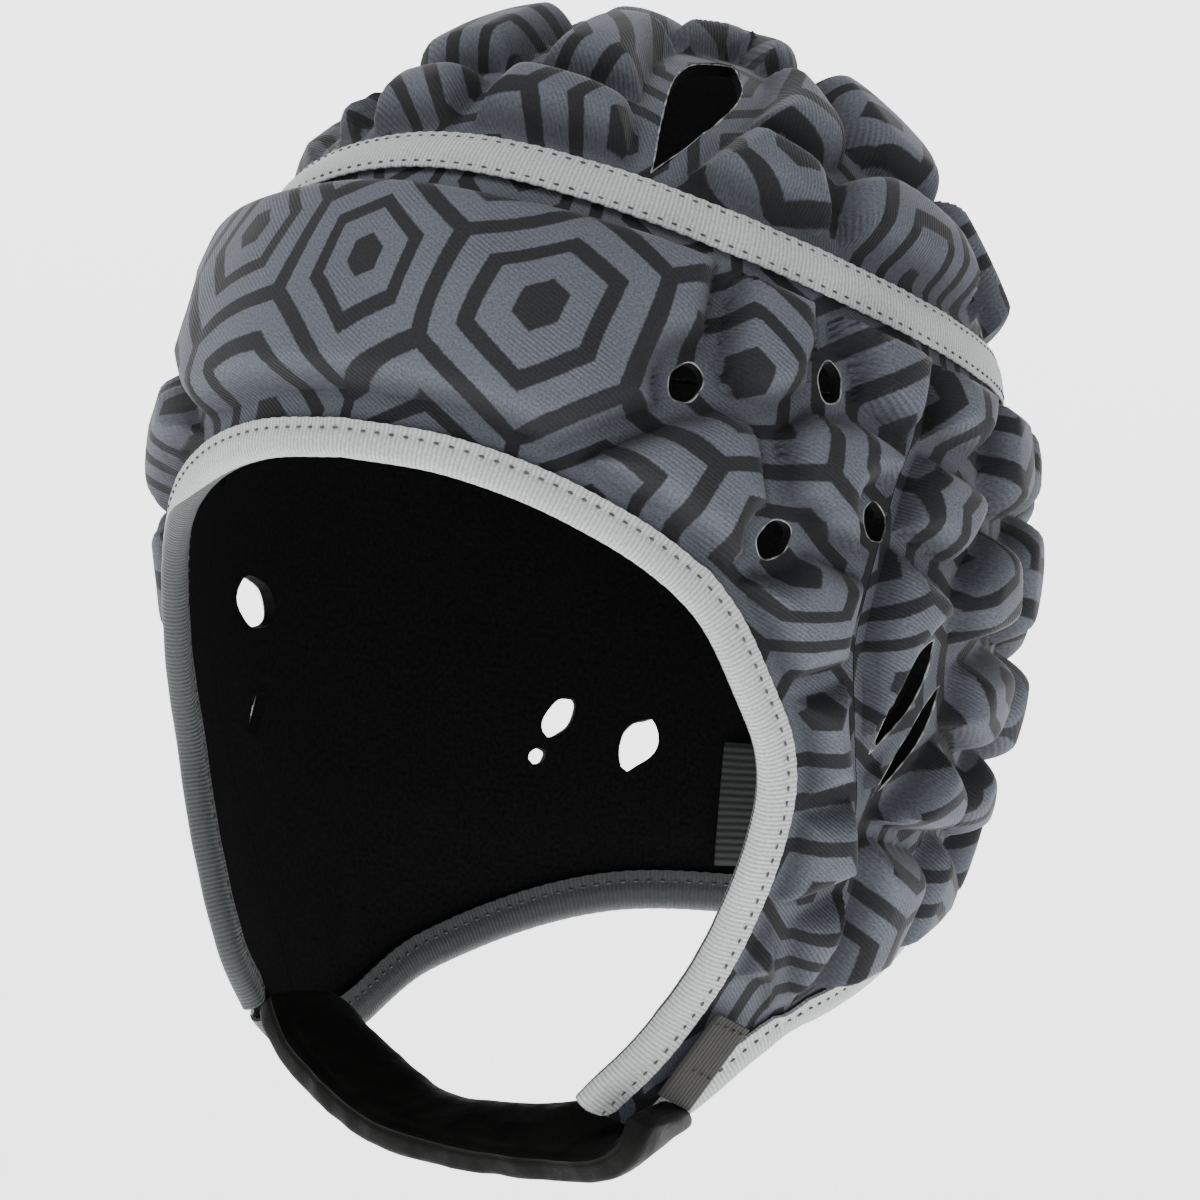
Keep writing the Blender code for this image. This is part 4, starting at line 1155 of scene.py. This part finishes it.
def strap_line(count):
    """Middle, wide direction, flat direction and width share of the strap at even steps of its
    table, by cubics through the rows."""
    table = np.array(STRAP_LINE)
    slopes = np.gradient(table, axis=0)
    wanted = np.linspace(0.0, len(table) - 1.0, count)
    index = np.minimum(wanted.astype(int), len(table) - 2)
    part = (wanted - index)[:, None]
    line = table[index] * (1 + 2 * part) * (1 - part) ** 2 + table[index + 1] * part ** 2 * (3 - 2 * part)
    line += part * (1 - part) * (slopes[index] * (1 - part) - slopes[index + 1] * part)
    across, forward, height, slope, share = line.T
    middle = np.stack([across * STRAP_SPREAD, -forward * STRAP_BACK,
                       -RISE - STRAP_LOWEST + height * STRAP_DROP], axis=1)
    along = unit(np.gradient(middle, axis=0))
    slope = np.radians(slope)
    wide = np.stack([0.0 * slope, np.cos(slope), np.sin(slope)], axis=1)
    wide = unit(wide - along * (wide * along).sum(1, keepdims=True))
    return middle, wide, np.cross(wide, along), share


def make_strap():
    """Chin strap: a section that is a superellipse of power 4, carried along the strap's line, with
    a raised fold along the front edge and cross creases from noise stretched over its width."""
    size = bpy.context.scene.cap_sizes
    stations, sides = 260, 64
    middle, wide, flat, share = strap_line(stations)
    angle = np.linspace(0.0, 2.0 * math.pi, sides, endpoint=False)
    section = np.stack([np.cos(angle), np.sin(angle)], axis=1)
    section = np.sign(section) * np.abs(section) ** 0.5
    end = np.minimum(np.arange(stations), np.arange(stations)[::-1]) / 22.0
    round_end = np.sqrt(1.0 - (1.0 - np.clip(end, 0.0, 1.0)) ** 2)
    share = share * (0.62 + 0.38 * round_end)
    crest, groove = np.exp(-((angle - 3.75) / 0.13) ** 2), np.exp(-((angle - 4.1) / 0.14) ** 2)
    fold = 0.0009 * crest - 0.0005 * groove
    run = run_length(middle)
    width = (0.5 * size.strap_width * share)[:, None, None] * section[None, :, :1]
    depth = 0.5 * size.strap_thickness * (0.75 + 0.25 * round_end)[:, None, None] * section[None, :, 1:]
    rings = middle[:, None] + wide[:, None] * width + flat[:, None] * depth
    out = unit(rings - middle[:, None])
    creases = 0.0004 * lumps(rings * [1.0, 0.3, 1.0], 0.006, 51) + 0.00025 * lumps(rings, 0.0035, 52)
    rings = rings + out * (fold[None, :, None] + creases[..., None])
    cross = np.arange(sides) * 2.2 * size.strap_width / sides
    piece = capped("chin_strap_padded", rings[:, ::-1], run, cross[::-1], False, faux_leather())
    declare(piece, "chin_strap")


def make_tab():
    """Webbing tab: a strip carried down the outside of the left flap to the strap's end."""
    size, colours = bpy.context.scene.cap_sizes, bpy.context.scene.cap_colours
    first, last = tab_ends()
    down = place(*last) - place(*first)
    reach = np.linalg.norm(down)
    wide = np.cross(hung(*first)[1], down / reach)
    share = np.linspace(0.0, 1.0, 40)
    across, height = band_section(TAB_WIDTH, TAB_THICKNESS, 10)
    spot = first + (last - first) * share[:, None]
    line = place(*spot.T, size.flange_wall + 0.0029)
    normal = hung(*spot.T)[1]
    rings = line[:, None] + wide * across[:, None] + normal[:, None] * height[:, None]
    piece = capped("strap_tab_webbing", rings, share * reach, across, False,
                   ribbed_webbing("woven_webbing_tab", TAB_PITCH, colours.tab))
    declare(piece, "strap_tab")
    rows = []
    for share_down in (0.10, 0.62):
        along = np.linspace(-0.44, 0.44, 30) * TAB_WIDTH
        spot = beside(*(first + (last - first) * share_down), wide, along)
        directions = np.broadcast_to(down / reach, (30, 3))
        rows.append((along - along[0], *spot, directions, 0.0, size.flange_wall + 0.0037))
    thread = spun_thread("spun_black_thread", colours.tab_thread, 0.7)
    stitches("tab_stitches", rows, TAB_STITCH_PITCH, thread)


def make_patch():
    """Nape patch: a thin ribbed sheet on the inside of the form, thickened by a closed section."""
    scene = bpy.context.scene
    share = np.linspace(-0.5, 0.5, 60)
    across, height = band_section(PATCH_HEIGHT, PATCH_THICKNESS, 50)
    turn = math.pi - share * PATCH_WIDTH / REAR_LENGTH
    low = neck_level(math.pi) + scene.cap_sizes.neck_binding + 0.0022
    rings = place(turn[:, None], low + 0.5 * PATCH_HEIGHT + across, height - CLEARANCE - 0.0008)
    piece = capped("nape_patch_webbing", rings, share * PATCH_WIDTH, across, False,
                   ribbed_webbing("woven_webbing_patch", PATCH_PITCH, scene.cap_colours.patch))
    declare(piece, "nape_patch")


def hole_line(hole, side, count):
    """Turns and levels of a hole's cut outline: the outline's points on the plane of the hole are
    sought on the hung form by steps of at most 3 mm."""
    middle, along, across, _ = hole_frame(hole, side)
    angle = np.linspace(0.0, 2.0 * math.pi, count, endpoint=False)
    long, wide = 0.0005 * hole[2], 0.0005 * hole[3]
    a, b = long * np.cos(angle), wide * np.sin(angle)
    if hole[5] != "oval":
        b = wide * np.sign(np.sin(angle)) * (1.0 - np.cos(angle) ** 2)
    if hole[5] == "drop":
        b = b * (1.0 + DROP_SWELL * np.cos(angle))
    spread = 1.0 + hole_wobble(np.arctan2(b / wide, a / long), hole)
    target = middle + (a * spread)[:, None] * along + (b * spread)[:, None] * across
    where = (np.full(count, side * math.radians(hole[0])), np.full(count, hole[1] * RISE))
    for _ in range(18):
        miss = target - place(*where)
        far = np.linalg.norm(miss, axis=1)
        where = beside(*where, unit(miss), np.minimum(far, 0.003))
    return where


def make_cut_edges():
    """Raw edges of the holes: a thin uneven cord along each hole's outline at the outer face; its
    radius is a constant plus noise."""
    count, sides = 110, 5
    ring = (np.arange(sides) * 2.0 * math.pi / sides)[:, None]
    bodies = []
    for panel, hole in ((panel, hole) for panel in PADS for hole in HOLES[panel]):
        for side in hole_sides(hole):
            where = hole_line(hole, side, count)
            inner, up = hung(*where)
            thickness, _ = wall(inner, where, panel, np.full(count, 0.02))
            line = inner + up * (thickness - 0.0001)[:, None]
            tangent = unit(np.roll(line, -1, axis=0) - np.roll(line, 1, axis=0))
            radius = 0.00017 + 0.00010 * lumps(line, 0.0016, 61)
            round_it = np.cross(tangent, up)[:, None] * np.cos(ring) + up[:, None] * np.sin(ring)
            bodies.append((line[:, None] + radius[:, None, None] * round_it).reshape(-1, 3))
    points = np.concatenate(bodies)
    faces = repeated(tube(count, sides, closed=True), count * sides, len(points))
    fibres = spun_thread("raw_cut_fibres", bpy.context.scene.cap_colours.cut_edge, 0.8, 420.0, 2.6)
    piece = build_mesh("cut_edges", points, faces, points[:, :2], None, [fibres])
    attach(piece, BODY)


class CAP_OT_front(bpy.types.Operator):
    """Forehead and cheeks."""
    bl_idname = "scrumcap.front"
    bl_label = "Front panel"

    def execute(self, context):
        grid, flat = front_grid()
        uv = np.stack([grid[0] * HALF_WIDTH, grid[1]], -1)
        make_panel("front", grid, uv, flat, printed_knit("printed_knit_front", 8.0, (0.004, 0.021)))
        return {"FINISHED"}


class CAP_OT_rear(bpy.types.Operator):
    """Ears, back of the head and nape."""
    bl_idname = "scrumcap.rear"
    bl_label = "Rear panel"

    def execute(self, context):
        grid, flat = rear_grid()
        grid = (grid[0][::-1], grid[1][::-1])
        uv = np.stack([np.mod(grid[0], 2.0 * math.pi) * HALF_WIDTH, grid[1]], -1)
        make_panel("rear", grid, uv, flat[::-1], printed_knit("printed_knit_rear", -6.0, (0.011, 0.004)))
        return {"FINISHED"}


class CAP_OT_crown(bpy.types.Operator):
    """Padded dome."""
    bl_idname = "scrumcap.crown"
    bl_label = "Crown panel"

    def execute(self, context):
        grid, lift, flat = crown_grid()
        reach = (0.5 * math.pi - lift) * 0.5 * (HALF_WIDTH + FRONT_LENGTH)
        uv = np.stack([reach * np.sin(grid[0]), -reach * np.cos(grid[0])], -1)
        make_panel("crown", grid, uv, flat, printed_knit("printed_knit_crown", 20.0, (0.0, 0.012)))
        return {"FINISHED"}


class CAP_OT_trim(bpy.types.Operator):
    """Crown tape, bindings, stitches and cut edges."""
    bl_idname = "scrumcap.trim"
    bl_label = "Tapes and stitches"

    def execute(self, context):
        size, colours = context.scene.cap_sizes, context.scene.cap_colours
        thread = spun_thread("spun_dark_thread", colours.thread, 0.7)
        stitches("tape_stitches", make_tape(), size.stitch_pitch, thread)
        share = np.linspace(-1.0, 1.0, 700)
        turn, level = face_edge(share)
        # Past this width the face binding takes the painted shade colour of its inside part.
        woven = woven_tape("woven_binding_face", BINDING_PITCH, size.face_binding + 0.0036)
        rows = make_binding("face_binding", np.sign(share) * turn, level, size.face_binding, woven)
        share = np.linspace(0.10, 1.985, 600)
        left = smooth_line(LEFT_ROWS, FLAP_DROP, np.minimum(share, 1.0))
        right = smooth_line(RIGHT_ROWS, FLAP_DROP, np.minimum(2.0 - share, 1.0))
        turn = np.where(share > 1.0, 2.0 * math.pi - right[0], left[0])
        level = np.where(share > 1.0, right[1], left[1])
        # Past this width the neck binding takes the painted shade colour of its inside part.
        woven = woven_tape("woven_binding_neck", BINDING_PITCH, size.neck_binding + 0.0030)
        rows += make_binding("neck_binding", turn, level, size.neck_binding, woven)
        stitches("binding_stitches", rows, size.stitch_pitch, thread)
        make_cut_edges()
        return {"FINISHED"}


class CAP_OT_strap(bpy.types.Operator):
    """Chin strap, its tab and the nape patch."""
    bl_idname = "scrumcap.strap"
    bl_label = "Chin strap"

    def execute(self, context):
        make_strap()
        make_tab()
        make_patch()
        return {"FINISHED"}


class CAP_OT_stage(bpy.types.Operator):
    """Plain floor and backdrop, soft lights and the camera."""
    bl_idname = "scrumcap.stage"
    bl_label = "Stage"

    def execute(self, context):
        make_sweep()
        make_lights()
        make_camera()
        return {"FINISHED"}


def make_sweep():
    """Floor that curves up into a backdrop: a straight run, a quarter circle and a straight rise,
    carried along the view's width."""
    floor, radius, far = -0.75, 1.2, 2.6
    angle = np.linspace(0.0, 0.5 * math.pi, 24)
    depth = np.concatenate([[-4.0], far + radius * np.sin(angle), [far + radius]])
    height = np.concatenate([[floor], floor + radius * (1.0 - np.cos(angle)), [5.0]])
    away = math.radians(CAMERA_AZIMUTH)
    ahead = np.array([-math.sin(away), math.cos(away), 0.0])
    right = np.array([math.cos(away), math.sin(away), 0.0])
    side = np.linspace(-6.0, 6.0, 9)
    points = depth[:, None, None] * ahead + side[:, None] * right
    points[..., 2] = height[:, None]
    rows, columns = points.shape[:2]
    a = np.arange(rows - 1)[:, None] * columns + np.arange(columns - 1)[None, :]
    faces = np.stack([a, a + 1, a + columns + 1, a + columns], -1).reshape(-1, 4)
    points = points.reshape(-1, 3)
    paper = dress(new_material("matt_backdrop_paper"), linear("#f0f0f0"), Roughness=0.95,
                  Emission_Color=(1.0, 1.0, 1.0, 1.0), Emission_Strength=2.2)
    sweep = build_mesh("backdrop", points, faces, points[:, :2], None, [paper])


def make_lights():
    """Soft boxes that look at the cap: a key high on the camera's left, a fill on its right, one in
    front and one behind; and an even white world."""
    lights = (
        # name, azimuth, elevation, distance, width, watts, height of the aim
        ("key_softbox", -12.0, 55.0, 1.7, 1.0, 27.0, -0.10),
        ("fill_softbox", 95.0, 15.0, 2.2, 1.6, 9.0, -0.12),
        ("front_softbox", 25.0, 12.0, 2.6, 1.0, 6.0, -0.12),
        ("back_softbox", 205.0, 45.0, 2.0, 1.2, 12.0, -0.10),
    )
    for name, azimuth, elevation, distance, width, watts, aim in lights:
        data = bpy.data.lights.new(name, "AREA")
        data.energy = watts
        data.size = width
        lamp = bpy.data.objects.new(name, data)
        bpy.context.scene.collection.objects.link(lamp)
        turn, lift = math.radians(azimuth), math.radians(elevation)
        back = np.array([math.sin(turn) * math.cos(lift), -math.cos(turn) * math.cos(lift),
                         math.sin(lift)])
        point_at(lamp, np.array([0.0, 0.0, aim]) + back * distance, back, np.array([0.0, 0.0, 1.0]))
    world = bpy.data.worlds.new("soft_studio")
    world.use_nodes = True
    world.node_tree.nodes["Background"].inputs[0].default_value = (1.0, 1.0, 1.0, 1.0)
    world.node_tree.nodes["Background"].inputs[1].default_value = 0.40
    bpy.context.scene.world = world


def point_at(thing, spot, back, up):
    """Place an object so that its Z axis points back and its Y axis near up."""
    back = unit(back)
    right = unit(np.cross(up, back))
    matrix = np.eye(4)
    matrix[:3] = np.stack([right, np.cross(back, right), back, spot], -1)
    thing.matrix_world = Matrix(matrix.tolist())


def make_camera():
    """Camera at the fitted azimuth, elevation, roll and distance, with a long lens."""
    azimuth, elevation, roll = (math.radians(v) for v in (CAMERA_AZIMUTH, CAMERA_ELEVATION, CAMERA_ROLL))
    right = np.array([math.cos(azimuth), math.sin(azimuth), 0.0])
    back = np.array([math.cos(elevation) * math.sin(azimuth), -math.cos(elevation) * math.cos(azimuth),
                     math.sin(elevation)])
    up = np.cross(back, right)
    centre = np.array([0.0, 0.0, -RISE])
    spot = centre + back * CAMERA_DISTANCE
    aim = centre + right * CAMERA_AIM[0] + up * CAMERA_AIM[1]
    data = bpy.data.cameras.new("photo_camera")
    data.lens = CAMERA_LENS
    data.sensor_width = 36.0
    data.clip_start = 0.01
    camera = bpy.data.objects.new("photo_camera", data)
    bpy.context.scene.collection.objects.link(camera)
    point_at(camera, spot, spot - aim, up * math.cos(roll) - right * math.sin(roll))
    bpy.context.scene.camera = camera


class CAP_PT_panel(bpy.types.Panel):
    """Sizes, colours and pieces of the cap."""
    bl_idname = "CAP_PT_panel"
    bl_label = "Scrum cap"
    bl_space_type = "VIEW_3D"
    bl_region_type = "UI"
    bl_category = "Scrum cap"

    def draw(self, context):
        for group in (context.scene.cap_sizes, context.scene.cap_colours):
            for key in group.__annotations__:
                self.layout.prop(group, key)
        for step in STEPS:
            self.layout.operator(step.bl_idname)


STEPS = (CAP_OT_front, CAP_OT_rear, CAP_OT_crown, CAP_OT_trim, CAP_OT_strap, CAP_OT_stage)
CLASSES = (CapSizes, CapColours, *STEPS, CAP_PT_panel)


def register():
    """Register the classes and the two property groups."""
    for kind in CLASSES:
        bpy.utils.register_class(kind)
    bpy.types.Scene.cap_sizes = bpy.props.PointerProperty(type=CapSizes)
    bpy.types.Scene.cap_colours = bpy.props.PointerProperty(type=CapColours)


def unregister():
    """Undo register."""
    del bpy.types.Scene.cap_colours
    del bpy.types.Scene.cap_sizes
    for kind in reversed(CLASSES):
        bpy.utils.unregister_class(kind)


def main():
    """Build the cap piece by piece."""
    register()
    bpy.ops.scrumcap.front()
    bpy.ops.scrumcap.rear()
    bpy.ops.scrumcap.crown()
    bpy.ops.scrumcap.trim()
    bpy.ops.scrumcap.strap()
    bpy.ops.scrumcap.stage()


if __name__ == "__main__":
    main()
